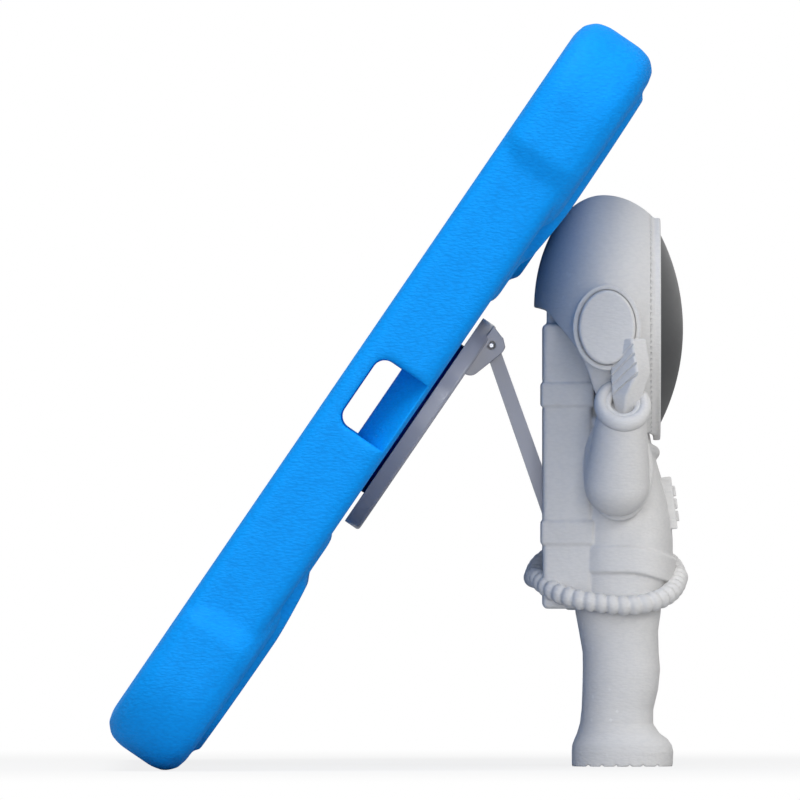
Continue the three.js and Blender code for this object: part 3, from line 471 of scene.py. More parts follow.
moved(case, round_a_port, (0, 0, port_middle))  # so that the node's own slots lie inside the carved ones
foamed(case, case_voxel, 3)
port_low, port_high = port_middle - port_half, port_middle + port_half
ramp_front = port_front + port_corner
ramp_back = case_back - 0.15 * mm
for side in (-1, 1):
    inner, outer = side * (cavity_end - 2 * mm), side * (case_end + 6 * mm)
    slot = block(
        "port_slot",
        (port_front, min(inner, outer), port_low),
        (cavity_floor - 0.2 * mm, max(inner, outer), port_high),
    )
    rounded(slot, at_port_corner, port_corner, 8)
    ramp_outline = [
        (ramp_front, outer),
        (ramp_front, inner),
        (cavity_floor, inner),
        (cavity_floor, side * (cavity_end + 2.4 * mm)),
        (ramp_back, side * (case_end - 0.3 * mm)),
        (ramp_back, outer),
    ]
    ramp = drawn("port_ramp", [(x, -y) for x, y in ramp_outline], port_low, port_high)
    placed(ramp, origin, (math.pi / 2, 0, 0))
    carved(case, merged(ramp, slot))
lean_back(case)
coated(case, blue_foam)
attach(case, "case")
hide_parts("foam_case")


# ---- Swivel bush and inner plate ----
# Navy nylon, turned and satin. The bush's flange shows as a collar between the case and the disc, and
# the plate clamps it from inside the case.

flange_back = 20.5 * mm
flange_radius = 22 * mm
flange_growth = 0.25 * mm  # a raised bearing face, up to the disc


def satin(name, plain, deep, roughness=0.42, **fixed):
    """Moulded plastic with a faint spark-eroded grain and slight scuffs."""
    finish = Finish(name)
    grain = finish.noise(2600, 2)
    cloud = finish.noise(60, 4)
    scuffs = finish.stepped(finish.noise(420, 5, 0.75, finish.stretched((1, 1, 0.12))), 0.6, 0.72)
    body = finish.mix(cloud * 0.5 + scuffs * 0.18, plain, deep)
    dull = roughness + cloud * 0.08 + scuffs * 0.12
    normal = finish.relief(grain + scuffs * 0.4, 0.02 * mm, 0.35)
    return finish.shade(body, dull, normal, **fixed)


def round_the_flange(edge):
    return all(
        v.co.x > flange_back and abs(math.hypot(v.co.y, v.co.z) - flange_radius) < 0.2 * mm
        for v in edge.verts
    )


bush = upright_copy("swivel_bush", "bush_with_flange")
moved(bush, lambda v: v.co.x > flange_back - 0.05 * mm, (flange_growth, 0, 0))
rounded(bush, round_the_flange, 0.15 * mm, 2)
sharp_smooth(bush)
lean_back(bush)
navy_plastic = satin("navy_plastic", colour(24, 70, 230), colour(16, 54, 196), Specular_IOR_Level=0.3)
coated(bush, navy_plastic)
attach(bush, "case")
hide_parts("swivel_bush")
coated(nodes["inner_plate"], navy_plastic)


# ---- Swivel disc ----
# Grey ABS, moulded in one with its hub and the two hinge ears at its top, and slightly glossy. A flat
# channel runs down its face, where the arm lies when it is folded.

disc_back = 20.76 * mm
disc_face = 24.9 * mm
disc_radius = 30.4 * mm
face_edge = 0.8 * mm
back_edge = 0.2 * mm
hub_radius = 10.2 * mm
hub_end = 13.7 * mm
hinge_depth = 26.25 * mm
hinge_rise = 25.9 * mm
ear_inside = 11.0 * mm
ear_outside = 14.0 * mm
ear_low, ear_high = -9.5, 4.3
channel_depth = 1 * mm
channel_foot = -22.5 * mm
channel_corner = 2.5 * mm
screw_bore = 1.9 * mm
pin_hole = 1.15 * mm
pin_hole_depth = 2.1 * mm
pin_hole_flat = 0.75 * mm
knuckle_radius = 2.2 * mm


def at_hinge(x, z):
    """A point of the disc's side, in millimetres from the hinge pin."""
    return (hinge_depth + x * mm, hinge_rise + z * mm)


disc = drum("disc_with_ears", disc_radius, (disc_back, 0, 0), (disc_face, 0, 0), 160)
for depth, width in ((disc_face, face_edge), (disc_back, back_edge)):
    rounded(disc, lies_at(X, depth), width, 5)
hub = drum("hub", hub_radius, (hub_end, 0, 0), (disc_back + 1 * mm, 0, 0), 72)
ear_foot = disc_face - 1 * mm
ear_outline = [(ear_foot, at_hinge(0, ear_low)[1]), (disc_face, at_hinge(0, ear_low)[1])]
ear_outline += curved(ear_outline[-1], at_hinge(0.5, -9.2), at_hinge(0.9, -7.6))
ear_outline += [at_hinge(3.0, -0.9)]
ear_outline += curved(ear_outline[-1], at_hinge(3.4, 0.4), at_hinge(3.05, 1.6))
ear_outline += [at_hinge(1.4, 3.15), at_hinge(0.9, 3.2), (ear_foot, at_hinge(0, ear_high)[1])]
ears, pin_bores = [], []
for side in (-1, 1):
    ends = sorted((side * ear_inside, side * ear_outside))
    ear = drawn(f"hinge_ear_{side}", ear_outline, *ends)
    ears.append(rounded(ear, lambda edge: run_along(edge, Y) < touching, 0.3 * mm, 2))
    bore = drum(
        "pin_bore",
        pin_hole,
        (hinge_depth, side * (ear_outside - pin_hole_depth), hinge_rise),
        (hinge_depth, side * (ear_outside + 1 * mm), hinge_rise),
        40,
    )
    with editing(bore):
        bpy.ops.mesh.bisect(
            plane_co=(hinge_depth - pin_hole_flat, 0, hinge_rise),
            plane_no=(-1, 0, 0),
            use_fill=True,
            clear_outer=True,
        )
    pin_bores.append(bore)
merged(disc, hub, *ears)
channel = block(
    "channel",
    (disc_face - channel_depth, -ear_inside, channel_foot),
    (disc_face + 1 * mm, ear_inside, hinge_rise),
)
rounded(channel, lambda edge: run_along(edge, X) > 1 * mm and middle(edge).z < 0, channel_corner, 6)
knuckle_room = drum(
    "knuckle_room",
    knuckle_radius,
    (hinge_depth, -ear_inside, hinge_rise),
    (hinge_depth, ear_inside, hinge_rise),
    48,
)
hub_bore = drum("hub_bore", screw_bore, (hub_end - 1 * mm, 0, 0), (hub_end + 6 * mm, 0, 0), 32)
carved(disc, channel, knuckle_room, hub_bore, *pin_bores)
sharp_smooth(disc)
lean_back(disc)

grey_plastic = satin("grey_plastic", colour(170, 171, 181), colour(154, 156, 167), 0.15)
coated(disc, grey_plastic)
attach(disc, "swivel")
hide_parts("swivel_disc")


# ---- Arm and backpack socket ----
# The same grey plastic. The arm is a thin flat blade with a shallow panel on each face, and the socket
# is a moulded tray that the backpack's foam is bonded round.

for name in ("stand_arm", "back_socket"):
    coated(nodes[name], grey_plastic)


# ---- Pins, screws and washer ----
# Bright zinc-plated steel, turned, with fine rings left by the tool.


def steel(name):
    finish = Finish(name)
    rings = finish.noise(5200, 3, 0.6, finish.stretched((0.08, 1, 1)))
    cloud = finish.noise(900, 3)
    body = finish.mix(cloud, colour(236, 236, 238), colour(206, 207, 211))
    dull = 0.2 + rings * 0.14 + cloud * 0.08
    normal = finish.relief(rings, 0.01 * mm, 0.3)
    return finish.shade(body, dull, normal, Metallic=1.0)


zinc_steel = steel("zinc_steel")
for name in nodes:
    if "screw" in name or "pin" in name.split("_") or name == "retaining_washer":
        coated(nodes[name], zinc_steel)


# ---- Figure's helmet ----
# The figure is one moulding of white EVA foam, soft at every edge. Its helmet is an egg cut flat at the
# front, where a low rim holds the visor, with an oval pad in a thin ring over each ear.

figure_back = 35.233 * mm  # the backpack's back face
helmet_height = 113
helmet_middle = Vector((figure_back + 15.1 * mm, 0, helmet_height * mm))
helmet_back = 17.2 * mm
helmet_front = 20.8 * mm
helmet_top = 28.2 * mm
helmet_bottom = 41.7 * mm
helmet_half_width = 31 * mm
rim_forward = 29.2
rim_plane = figure_back + rim_forward * mm
rim_thickness = 1.8 * mm
rim_proud = 1.8 * mm
rim_edge = 0.45 * mm
visor_height = 108.1 * mm
visor_half_height = 23.4 * mm
visor_half_width = 21.8 * mm
visor_seat = 1.6 * mm
visor_slack = 0.1 * mm
ear_centre = figure_back + 15.8 * mm
ear_height = 108.4 * mm
ear_halves = (7.05 * mm, 9.2 * mm, 9.2 * mm)  # across, up and down
ear_root = helmet_half_width - 8 * mm
ear_ring = 1.45 * mm
ear_proud = 2.6 * mm
ear_ring_step = 1.7 * mm
ear_gutter = 0.25 * mm
ear_gutter_depth = 0.8 * mm
stitch_plane = figure_back + 26.75 * mm
stitch_pitch = 1.4 * mm
stitch_radius = 24 * mm  # a mean of the rim's oval, for spacing the stitches


def grown(piece, test, value, centre):
    """Scales the part of the piece that passes the test about a centre."""
    with editing(piece):
        pick(piece, "VERT", test)
        bpy.ops.transform.resize(value=value, center_override=centre)
    return piece


def at_figure(x, z):
    """A point of the figure's side, in millimetres from the backpack and above the soles."""
    return (figure_back + x * mm, z * mm)


def oval(name, start, end, centre, half_width, up, down, sides=96):
    """An oval plug along x or y between two depths, scaled apart above and below its middle."""
    along_x = abs(end[0] - start[0]) > touching
    plug = drum(name, 1 * mm, start, end, sides)
    grown(plug, lambda v: v.co.z > centre[2] + touching, (1, 1, up / mm), centre)
    grown(plug, lambda v: v.co.z < centre[2] - touching, (1, 1, down / mm), centre)
    widening = (1, half_width / mm, 1) if along_x else (half_width / mm, 1, 1)
    return grown(plug, everything, widening, centre)


clear()
bpy.ops.mesh.primitive_uv_sphere_add(segments=128, ring_count=80, radius=1 * mm, location=helmet_middle)
helmet = new_piece("figure_helmet")
for axis, forward, backward in ((X, helmet_front, helmet_back), (Z, helmet_top, helmet_bottom)):
    for way, reach in ((1, forward), (-1, backward)):
        beyond = lambda v: way * (v.co[axis] - helmet_middle[axis]) > touching
        value = [reach / mm if k == axis else 1 for k in (X, Y, Z)]
        grown(helmet, beyond, value, helmet_middle)
grown(helmet, everything, (1, helmet_half_width / mm, 1), helmet_middle)


def at_helmet(x, z):
    """A point of the figure's side, in millimetres from the backpack and above the helmet's middle."""
    return at_figure(x, helmet_height + z)


helmet_side = [at_helmet(-5, 0.6), at_helmet(-1.2, 0.25), at_helmet(0.5, -0.2)]
helmet_side += curved(helmet_side[-1], at_helmet(1.2, -0.4), at_helmet(1.7, -1.3), 4)
helmet_side += [at_helmet(7.4, -8.4)]
helmet_side += curved(helmet_side[-1], at_helmet(10.8, -13.5), at_helmet(12.4, -19.5))
helmet_side += curved(helmet_side[-1], at_helmet(15.5, -28), at_helmet(rim_forward, -31.6))
helmet_side += [at_helmet(rim_forward, 32), at_helmet(-5, 32)]
beside = helmet_half_width + 2 * mm
merged(helmet, drawn("helmet_side", helmet_side, -beside, beside), operation="INTERSECT")

share = math.sqrt(1 - ((rim_plane - helmet_middle.x) / helmet_front) ** 2)  # of the egg, at the rim
rim = oval(
    "rim",
    (rim_plane - rim_thickness, 0, helmet_middle.z),
    (rim_plane, 0, helmet_middle.z),
    helmet_middle,
    helmet_half_width * share + rim_proud,
    helmet_top * share + rim_proud,
    helmet_bottom * share + rim_proud,
)
rounded(rim, lies_at(X, rim_plane), rim_edge, 4)
pad_face = helmet_half_width + ear_proud
ear_pieces = []
for side in (-1, 1):
    root = (ear_centre, side * ear_root, ear_height)
    pad_end = (ear_centre, side * pad_face, ear_height)
    pad = oval("ear_pad", root, pad_end, root, *ear_halves)
    ear_pieces.append(rounded(pad, lies_at(Y, pad_end[1]), 0.9 * mm, 5))
    ring_face = pad_face - ear_ring_step
    ring_end = (ear_centre, side * ring_face, ear_height)
    ring = oval("ear_ring", root, ring_end, root, *[half + ear_ring for half in ear_halves])
    rounded(ring, lies_at(Y, ring_end[1]), 0.5 * mm, 5)
    gutter_start = (ear_centre, side * (ring_face - ear_gutter_depth), ear_height)
    gutter_end = (ear_centre, side * (ring_face + 1 * mm), ear_height)
    gutter_halves = [half + ear_gutter for half in ear_halves]
    gutter = oval("ear_gutter", gutter_start, gutter_end, gutter_start, *gutter_halves)
    ear_pieces.append(carved(ring, gutter))
merged(helmet, rim)
seat = oval(
    "visor_seat",
    (rim_plane - visor_seat - 0.3 * mm, 0, visor_height),
    (rim_plane + 2 * mm, 0, visor_height),
    (rim_plane, 0, visor_height),
    visor_half_width + visor_slack,
    visor_half_height + visor_slack,
    visor_half_height + visor_slack,
)
carved(helmet, seat)
foamed(helmet, 0.32 * mm, 2, 160_000)
for pad in ear_pieces:
    sharp_smooth(pad)
joined(helmet, *ear_pieces)

# Plain, then the darker tone of the painted shade in the grain's hollows and stitch marks, then the paler
# tone of the painted edge highlight.
white = (colour(209, 208, 207), colour(196, 196, 197), colour(227, 227, 227))


def white_foam(name, marks=None):
    """The white foam's finish, with stitch marks pressed into it and painted darker as painted shade, where
    a piece has them.
    """
    return foam(name, *white, grain=0.09, gloss=0.25, marks=marks)


def stitches(finish):
    """A row of short stitch marks round the rim, one pitch apart."""
    place = {"Vector": finish.place}
    x, y, z = (finish.node("ShaderNodeSeparateXYZ", {}, place, axis) for axis in "XYZ")
    off_line = finish.maths("ABSOLUTE", x - stitch_plane)
    line = 1 - finish.stepped(off_line, 0.12 * mm, 0.3 * mm)
    turn = finish.maths("ARCTAN2", z - visor_height, y)
    step = finish.maths("FRACT", turn * (stitch_radius / stitch_pitch))
    dash = finish.stepped(step, 0.12, 0.28) * (1 - finish.stepped(step, 0.62, 0.78))
    return line * dash


def dress(piece, material):
    """The body, replaced node and finish of the figure's foam pieces."""
    coated(piece, material)
    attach(piece, "figure")
    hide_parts("figure_body")


dress(helmet, white_foam("white_foam_stitched", stitches))
plain_foam = white_foam("white_foam")


# ---- Visor ----
# A smoked lens of grey plastic, domed, snapped into the helmet's rim.

visor_bulge = 5.6 * mm

ball_radius = (visor_half_height**2 + visor_bulge**2) / (2 * visor_bulge)
clear()
bpy.ops.mesh.primitive_uv_sphere_add(
    segments=128,
    ring_count=128,
    radius=ball_radius,
    location=(rim_plane + visor_bulge - ball_radius, 0, visor_height),
    rotation=(0, math.pi / 2, 0),
)
visor = new_piece("visor_lens")
with editing(visor):
    bpy.ops.mesh.bisect(
        plane_co=(rim_plane, 0, 0),
        plane_no=(1, 0, 0),
        use_fill=True,
        clear_inner=True,
    )
    pick(visor, "FACE", lambda face: face.normal.x < -0.9)
    bpy.ops.mesh.extrude_region_move(TRANSFORM_OT_translate={"value": (-visor_seat, 0, 0)})
    bpy.ops.mesh.select_all(action="SELECT")
    bpy.ops.transform.resize(
        value=(1, visor_half_width / visor_half_height, 1),
        center_override=(rim_plane, 0, visor_height),
    )
    face_outwards()
sharp_smooth(visor, 40)


def smoked(name):
    """Dark grey gloss plastic with fine wiping marks."""
    finish = Finish(name)
    wipes = finish.noise(260, 4, 0.7, finish.stretched((1, 0.2, 1), (0.5, 0, 0)))
    cloud = finish.noise(45, 3)
    body = finish.mix(cloud, colour(60, 61, 62), colour(46, 47, 49))
    dull = 0.38 + wipes * 0.12
    normal = finish.relief(wipes, 0.01 * mm, 0.2)
    return finish.shade(body, dull, normal, Specular_IOR_Level=0.4)


coated(visor, smoked("visor_plastic"))
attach(visor, "figure")
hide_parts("visor")


# ---- Figure's body and backpack ----
# A barrel chest with a belt moulded in relief, a seam round each armhole and a neck ring. The backpack
# is three soft cushions held by two wide straps, and has a pocket for the socket.

torso_back, torso_front, torso_half = 6, 31.9, 21.4
trunk_squareness = 2.6
torso_levels = (  # height, and how far the front and the sides are drawn in
    (38.6, 3.9, 2.9),
    (39.6, 1.7, 0.9),
    (42.5, 0.0, 0.0),
    (49.0, -0.4, 0.0),
    (56.0, -0.35, 0.0),
    (61.0, 0.05, 0.3),
    (66.0, 0.9, 0.8),
    (72.0, 2.7, 1.6),
    (78.0, 4.5, 2.6),
    (86.0, 6.3, 3.8),
    (97.0, 9.9, 6.4),
)
belt_front = torso_front + 1.1
belt_half = torso_half + 0.9
belt_levels = ((47.8, 1.2), (47.85, 0.25), (48.3, 0), (54.0, 0.05), (54.45, 0.3), (54.5, 1.2))
belt_dip, dip_from = 2.7, 21
cushion_levels = ((38.95, 55.2), (60.2, 89.2), (94.4, 109.3))
strap_levels, strap_half = (57.7, 91.8), 3.05
neck_ring_middle = (16.1, 0, 83.4)
neck_ring_radius, neck_ring_wall = 12.6, 1.85
neck_ring_tilt = math.radians(28)
shoulder = (18.8, 20.5, 73.2)
shoulder_reach = (7.5, 11.2)
shoulder_tilt = math.radians(10.7)
seam_radius = 1.1
bed_depth, bed_sunk = 7 * mm, 6.7 * mm


def squarish(turn, power):
    """A point of a unit circle that a power above 2 has squared off."""
    return [math.copysign(abs(part) ** (2 / power), part) for part in (math.cos(turn), math.sin(turn))]


def in_figure(point):
    """A point given in millimetres from the backpack, the figure's middle and its soles."""
    return Vector(point) * mm + Vector((figure_back, 0, 0))


def lofted(name, rings, power, sides=64):
    """Squarish ovals stacked upwards: each ring is (height, x, y, half depth, half width), in mm."""
    height, x, y, depth, width = rings[0]
    clear()
    bpy.ops.mesh.primitive_circle_add(vertices=sides, radius=1 * mm, fill_type="NGON")
    piece = new_piece(name)
    for i, vertex in enumerate(piece.data.vertices):
        across, aside = squarish(2 * math.pi * i / sides, power)
        vertex.co = in_figure((x + across * depth, y + aside * width, height))
    with editing(piece):
        for below, above in zip(rings, rings[1:]):
            step = [(above[k] - below[k]) * mm for k in (1, 2, 0)]
            bpy.ops.mesh.extrude_region_move(TRANSFORM_OT_translate={"value": step})
            bpy.ops.transform.resize(
                value=(above[3] / below[3], above[4] / below[4], 1),
                center_override=in_figure((above[1], above[2], above[0])),
            )
        face_outwards()
    return piece


def slabbed(name, low, high, width, segments=5):
    """A block with all its edges rounded, its corners given in the figure's millimetres."""
    return rounded(block(name, in_figure(low), in_figure(high)), everything, width * mm, segments)


def hoop(name, radius, wall, sides=96, wall_sides=16):
    """A torus primitive at the origin, its sizes in millimetres."""
    clear()
    bpy.ops.mesh.primitive_torus_add(
        major_segments=sides,
        minor_segments=wall_sides,
        major_radius=radius * mm,
        minor_radius=wall * mm,
    )
    return new_piece(name)


def trunk_ring(height, front, half, inset=0):
    """A ring of the body from its back to this front, for lofted()."""
    return (height, (front + torso_back) / 2, 0, (front - torso_back) / 2 - inset, half - inset)


torso_rings = [trunk_ring(height, torso_front - a, torso_half - b) for height, a, b in torso_levels]
torso = lofted("figure_torso", torso_rings, trunk_squareness)
belt_rings = [trunk_ring(height, belt_front, belt_half, inset) for height, inset in belt_levels]
belt = lofted("belt", belt_rings, trunk_squareness, 96)
for vertex in belt.data.vertices:
    forward = max(0, (vertex.co.x - figure_back) / mm - dip_from) / (torso_front - dip_from)
    vertex.co.z -= belt_dip * forward**1.6 * mm

pack = slabbed("backpack", (0.5, -19.5, 40), (12.2, 19.5, 108.8), 2)
cushions = [slabbed("cushion", (0, -20, low), (12.1, 20, high), 1.2, 6) for low, high in cushion_levels]
neck = slabbed("neck_pad", (1.1, -17, 101.3), (12.5, 17, 116), 1)
straps = [
    slabbed("strap", (-0.45, -20.5, level - strap_half), (12.7, 20.5, level + strap_half), 0.75)
    for level in strap_levels
]

neck_ring = hoop("neck_ring", neck_ring_radius, neck_ring_wall)
neck_ring.scale = (1, 1.4, 1)
rings = [placed(neck_ring, in_figure(neck_ring_middle), (0, neck_ring_tilt, 0))]
half_depth, half_height = (reach * mm for reach in shoulder_reach)
for side in (-1, 1):
    seam = hoop("armhole_seam", shoulder_reach[0], seam_radius)
    grown(seam, everything, (1, half_height / half_depth, 1), origin)
    bed = oval("armhole_bed", origin, (0, side * bed_depth, 0), origin, half_depth, half_height, half_height)
    placed(bed, (0, -side * bed_sunk, 0))
    placed(seam, origin, (math.pi / 2, 0, 0))
    armhole = joined(seam, bed)
    at_side = in_figure((shoulder[0], side * shoulder[1], shoulder[2]))
    rings.append(placed(armhole, at_side, (side * shoulder_tilt, 0, 0)))

tray_room = block("tray_room", in_figure((-5, -16.9, 56.1)), in_figure((7.1, 16.9, 107)))
fold_room = block("fold_room", in_figure((-5, -15, 106.7)), in_figure((5.2, 15, 112.2)))
merged(torso, belt, pack, neck, *cushions, *straps)
carved(torso, tray_room, fold_room)
joined(torso, *rings)
foamed(torso, 0.32 * mm, 1)
dress(torso, plain_foam)


# ---- Figure's chest box ----
# A thin box of the same foam on the chest, with six square knobs, its edges crisper than the body's.

knob_aside, knob_height, knob_pitch = 3.57, 64.8, 3.1
knob_half_width, knob_half_height = 2, 1.3
box_lean = math.radians(7.3)

chest = slabbed("figure_chest_box", (28.6, -7.5, 58.6), (32.6, 7.5, 71.6), 0.35, 3)
knobs = []
for row in (-1, 0, 1):
    for column in (-1, 1):
        y, z = column * knob_aside, knob_height + row * knob_pitch
        low = (31.5, y - knob_half_width, z - knob_half_height)
        high = (33.3, y + knob_half_width, z + knob_half_height)
        knobs.append(slabbed("knob", low, high, 0.25, 3))
joined(chest, *knobs)
with editing(chest):
    bpy.ops.transform.rotate(
        value=box_lean,
        orient_axis="Y",
        center_override=in_figure((32.2, 0, 65.1)),
    )
sharp_smooth(chest, 40)
dress(chest, plain_foam)


# ---- Figure's arms ----
# Puffed sleeves, bent at the elbow, that end in a fat open cuff. A mitten fist stands up out of each,
# with four slanting grooves across its fingers.

shoulder_ball, shoulder_ball_radius = (17, 15.5, 80), 7
elbow_ball, elbow_radius = (18.3, 25, 69.9), 8.1
wrist_ball, wrist_radius = (19.5, 31.4, 87.1), 6.1
cuff_radius = 5.5
cuff_oval = 1.14
cuff_wall = 1.6
cuff_height = 2.1
cuff_tilt = math.radians(26)
cuff_beyond = 2.2  # from the wrist
lip_share = 0.72  # of the cuff's size
hollow_radius = 7.5 * mm
fist_rings = [  # height, and the (x, y) of the four corners
    (86.5, (17.7, -31.0), (20.0, -33.2), (23.0, -31.2), (20.4, -29.2)),
    (91.6, (16.8, -31.8), (20.6, -35.3), (24.9, -31.9), (21.0, -28.5)),
    (97.4, (16.4, -31.9), (23.3, -36.4), (26.8, -32.2), (20.6, -27.8)),
    (101.4, (17.2, -31.9), (22.6, -35.9), (26.3, -32.3), (21.2, -28.4)),
    (105.6, (18.2, -31.9), (21.8, -35.1), (25.7, -32.3), (22.3, -29.2)),
]
groove_heights = [(91.6, 97.4), (94.0, 99.9), (96.4, 102.2), (98.8, 104.4)]  # from near to far
groove_radius = 0.36 * mm


def limb(name, start, start_radius, end, end_radius):
    """A ball at each end and a cone between them, left as loose shells."""
    start, end = in_figure(start), in_figure(end)
    run = end - start
    slope = (start_radius - end_radius) * mm / run.length
    flare = math.sqrt(1 - slope * slope)
    shells = []
    for point, radius in ((start, start_radius), (end, end_radius)):
        clear()
        bpy.ops.mesh.primitive_uv_sphere_add(segments=48, ring_count=32, radius=radius * mm, location=point)
        shells.append(new_piece(name))
    low = start + run.normalized() * start_radius * mm * slope
    high = end + run.normalized() * end_radius * mm * slope
    clear()
    bpy.ops.mesh.primitive_cone_add(
        vertices=48,
        radius1=start_radius * mm * flare,
        radius2=end_radius * mm * flare,
        depth=(high - low).length,
        location=(low + high) / 2,
        rotation=run.to_track_quat("Z", "Y").to_euler(),
    )
    shells.append(new_piece(name))
    return joined(*shells)


def on_fingers(share, height):
    """A point just off the fist's finger side: a share of the way across it, at a height."""
    for below, above in zip(fist_rings, fist_rings[1:]):
        if height <= above[0]:
            break
    up = (height - below[0]) / (above[0] - below[0])
    ends = [Vector(below[i]).lerp(Vector(above[i]), up) for i in (1, 2)]
    outward = Vector((0.55, 0.83))
    place = ends[0].lerp(ends[1], share) + outward * 0.08
    return in_figure((place.x, place.y, height))


def fist(side):
    """A block that widens from the wrist to the knuckles, with slanting grooves between its fingers."""
    base_height, *base = fist_rings[0]
    clear()
    bpy.ops.mesh.primitive_plane_add(size=2 * mm)
    hand = new_piece("fist")
    order = [(-1, -1), (1, -1), (1, 1), (-1, 1)]
    for vertex in hand.data.vertices:
        corner = order.index((round(math.copysign(1, vertex.co.x)), round(math.copysign(1, vertex.co.y))))
        vertex.co = in_figure((*base[corner], base_height))
    for below, above in zip(fist_rings, fist_rings[1:]):
        rise = (0, 0, (above[0] - below[0]) * mm)
        with editing(hand):
            pick(hand, "FACE", lies_at(Z, below[0] * mm))
            bpy.ops.mesh.extrude_region_move(TRANSFORM_OT_translate={"value": rise})
        for vertex in hand.data.vertices:
            for corner, new_corner in zip(below[1:], above[1:]):
                if (vertex.co - in_figure((*corner, above[0]))).length < touching:
                    vertex.co = in_figure((*new_corner, above[0]))
                    break
    with editing(hand):
        face_outwards()
    rounded(hand, lambda edge: run_along(edge, Z) > 0.1 * mm, 0.7 * mm, 4)
    top = max(v.co.z for v in hand.data.vertices)
    rounded(hand, lies_at(Z, top), 0.6 * mm, 3)
    grooves = [
        drum("finger_groove", groove_radius, on_fingers(0.08, low), on_fingers(1.05, high), 12)
        for low, high in groove_heights
    ]
    carved(hand, *grooves)
    sharp_smooth(hand)
    if side > 0:
        grown(hand, everything, (1, -1, 1), origin)
        with editing(hand):
            bpy.ops.mesh.flip_normals()
    return hand


for side, side_name in ((-1, "near"), (1, "far")):
    across = Vector((1, side, 1))
    elbow = Vector(elbow_ball) * across
    wrist = Vector(wrist_ball) * across
    aim = (wrist - elbow).normalized()
    upper = limb("upper", Vector(shoulder_ball) * across, shoulder_ball_radius, elbow, elbow_radius)
    fore = limb("fore", elbow, elbow_radius, wrist, wrist_radius)
    cuff_at = in_figure(wrist + aim * cuff_beyond)
    tipped = Matrix.Rotation(-side * cuff_tilt, 3, "X") @ aim
    cuff = hoop("cuff", cuff_radius, cuff_wall, 72, 24)
    grown(cuff, everything, (1, cuff_oval, cuff_height / cuff_wall), origin)
    placed(cuff, cuff_at, tipped.to_track_quat("Z", "Y").to_euler())
    lip = copied(cuff, "cuff_lip")
    grown(lip, everything, (lip_share, lip_share, lip_share), cuff_at - tipped * 0.6 * mm)
    hollow = drum("cuff_hollow", hollow_radius, cuff_at - tipped * 1.2 * mm, cuff_at + tipped * 8 * mm, 48)
    arm = joined(upper, fore)
    arm.name = f"figure_arm_{side_name}"
    foamed(arm, 0.3 * mm, 1, 120_000)
    carved(arm, hollow)
    for shell in (cuff, lip):
        sharp_smooth(shell, 60)
    joined(arm, cuff, lip, fist(side))
    dress(arm, plain_foam)


# ---- Figure's legs ----
# Two thick trouser legs in blunt boots, with grooves across the soles.

leg_aside = 12.1
sole_middle = 19.75
tread_count = 6
tread_pitch = 3.4
tread_half = 0.4
tread_depth = 0.5
leg_shape = [  # height, x, half depth, half width
    (0, 19.75, 12.4, 11.3),
    (3.6, 19.8, 12.5, 11.4),
    (5.2, 19.7, 12.25, 11.2),
    (6.6, 19.5, 11.5, 10.7),
    (8, 18.8, 10.2, 10.1),
    (10.5, 18.35, 9.0, 9.6),
    (14, 18.55, 8.8, 9.5),
    (19, 19.25, 9.3, 9.8),
    (24, 19.55, 9.5, 10),
    (28, 19.35, 9.35, 9.9),
    (33.5, 18.8, 9.75, 10),
    (38, 18.7, 10.5, 10.3),
    (43, 18.7, 10.7, 10.3),
]

legs = []
for side in (-1, 1):
    leg_rings = [(height, x, side * leg_aside, depth, width) for height, x, depth, width in leg_shape]
    leg = lofted("leg", leg_rings, 2.3)
    treads = []
    for groove in range(tread_count):
        x = sole_middle + (groove - (tread_count - 1) / 2) * tread_pitch
        low, high = (x - tread_half, -30, -1), (x + tread_half, 30, tread_depth)
        treads.append(block("tread", in_figure(low), in_figure(high)))
    legs.append(carved(leg, *treads))
joined(*legs)
legs[0].name = "figure_legs"
foamed(legs[0], 0.3 * mm, 1)
dress(legs[0], plain_foam)


# ---- Rope round the figure's hips ----
# A thick twisted rope in the same foam, moulded on: fat slanted turns, hanging lower on the -Y side.

rope_height = 46.6
rope_middle = 15.7
rope_half_depth = 17.9
rope_half_width = 25.2
rope_radius = 2.5
rope_squareness = 2.7
rope_drop = 7
rope_level = 6
rope_rise = 0.115  # how much higher its -Y side is towards the backpack
rise_from = 21
rope_turns = 54
turn_thickness = 2.05
rope_slant = math.radians(18)
line_steps = 2000
tangent_steps = 8


def rope_point(turn):
    """A point of the rope's middle line, in the part's frame."""
    across, aside = squarish(turn, rope_squareness)
    x = rope_middle + rope_half_depth * across
    y = rope_half_width * aside
    sloping = math.copysign(max(abs(y) - rope_level, 0), y)
    z = rope_height + sloping * rope_drop / (rope_half_width - rope_level)
    if sloping < 0:
        z += max(0, rise_from - x) * rope_rise * min(1, -sloping / 8)
    return in_figure((x, y, z))


line = [rope_point(2 * math.pi * i / line_steps) for i in range(line_steps + 1)]
walked = [0]
for before, after in zip(line, line[1:]):
    walked.append(walked[-1] + (after - before).length)
clear()
bpy.ops.mesh.primitive_uv_sphere_add(segments=20, ring_count=12, radius=1 * mm)
bead = new_piece("bead")
slant = Matrix.Rotation(rope_slant, 4, "Y")
size = Matrix.Diagonal((turn_thickness, rope_radius, rope_radius * 1.03, 1))
turns = []
spot = 0
for i in range(rope_turns):
    goal = walked[-1] * i / rope_turns
    while walked[spot + 1] < goal:
        spot += 1
    here = line[spot]
    ahead = line[(spot + tangent_steps) % line_steps] - line[(spot - tangent_steps) % line_steps]
    ahead.normalize()
    outward = here - Vector((figure_back + rope_middle * mm, 0, here.z))
    outward = (outward - ahead * outward.dot(ahead)).normalized()
    up = ahead.cross(outward)
    basis = Matrix((ahead, outward, up)).transposed().to_4x4()
    twin = copied(bead, "rope_turn")
    twin.matrix_world = Matrix.Translation(here) @ basis @ slant @ size
    turns.append(settle(twin))
bpy.data.objects.remove(bead)
rope = joined(*turns)
rope.name = "figure_rope"
foamed(rope, 0.28 * mm, 1)
dress(rope, plain_foam)


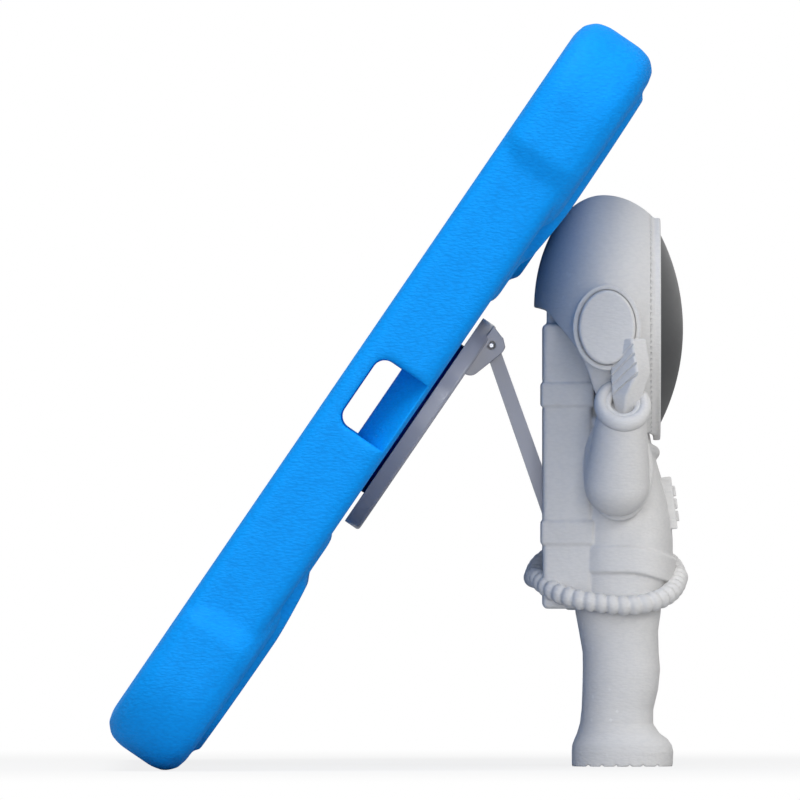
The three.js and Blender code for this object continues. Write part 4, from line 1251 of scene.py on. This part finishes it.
# ---- Floor, background and light ----
# A pale floor that fades into white air, a broad lamp overhead and softer ones low on the viewer's side.

fade_from, fade_to = 0.14, 0.45
floor_colour = (0.55, 0.55, 0.55, 1)
pure_white = (1, 1, 1, 1)
near_white = 0.84  # how white the floor is beside the part
air_light = 0.28  # the air's strength as a light
lamps = (  # name, place, size and watts
    ("lamp_above", (-0.1, -0.5, 1.25), 0.8, 13),
    ("lamp_front", (0.12, -1.5, 0.3), 0.9, 6),
    ("lamp_right", (1.1, -0.6, 0.9), 0.7, 5),
    ("lamp_small", (0.5, -1.33, 0.83), 0.3, 2.4),
    ("lamp_left", (-0.42, -1.4, 0.2), 0.5, 4.2),
)
lamps_aim = Vector((0, 0, 90 * mm))

clear()
bpy.ops.mesh.primitive_plane_add(size=60, location=origin)
floor = bpy.context.object
floor.name = "floor"
ground = Finish("floor")
away = ground.node("ShaderNodeVectorMath", {"operation": "LENGTH"}, {0: ground.place}, "Value")
lit = ground.node("ShaderNodeBsdfDiffuse", {}, {"Color": floor_colour})
bright = ground.node("ShaderNodeEmission", {}, {"Color": pure_white, "Strength": 1.0})
seen = ground.node("ShaderNodeLightPath", {}, {}, "Is Camera Ray")
white_share = near_white + ground.stepped(away, fade_from, fade_to) * (1 - near_white)
skin = ground.node("ShaderNodeMixShader", {}, {0: seen * white_share, 1: lit, 2: bright})
ground.node("ShaderNodeOutputMaterial", {}, {"Surface": skin})
floor.data.materials.append(ground.owner)

air = Nodes(bpy.data.worlds.new("studio"))
bpy.context.scene.world = air.owner
rays = [air.node("ShaderNodeLightPath", {}, {}, f"Is {kind} Ray") for kind in ("Camera", "Glossy")]
seen = air.maths("MAXIMUM", *rays)
level = air.node("ShaderNodeMapRange", {}, {"Value": seen, "To Min": air_light, "To Max": 1.0})
backdrop = air.node("ShaderNodeBackground", {}, {"Color": pure_white, "Strength": level})
air.node("ShaderNodeOutputWorld", {}, {"Surface": backdrop})

for name, place, size, watts in lamps:
    turn = (lamps_aim - Vector(place)).to_track_quat("-Z", "Y").to_euler()
    clear()
    bpy.ops.object.light_add(type="AREA", location=place, rotation=turn)
    lamp = bpy.context.object
    lamp.name = name
    lamp.data.size = size
    lamp.data.energy = watts

clear()
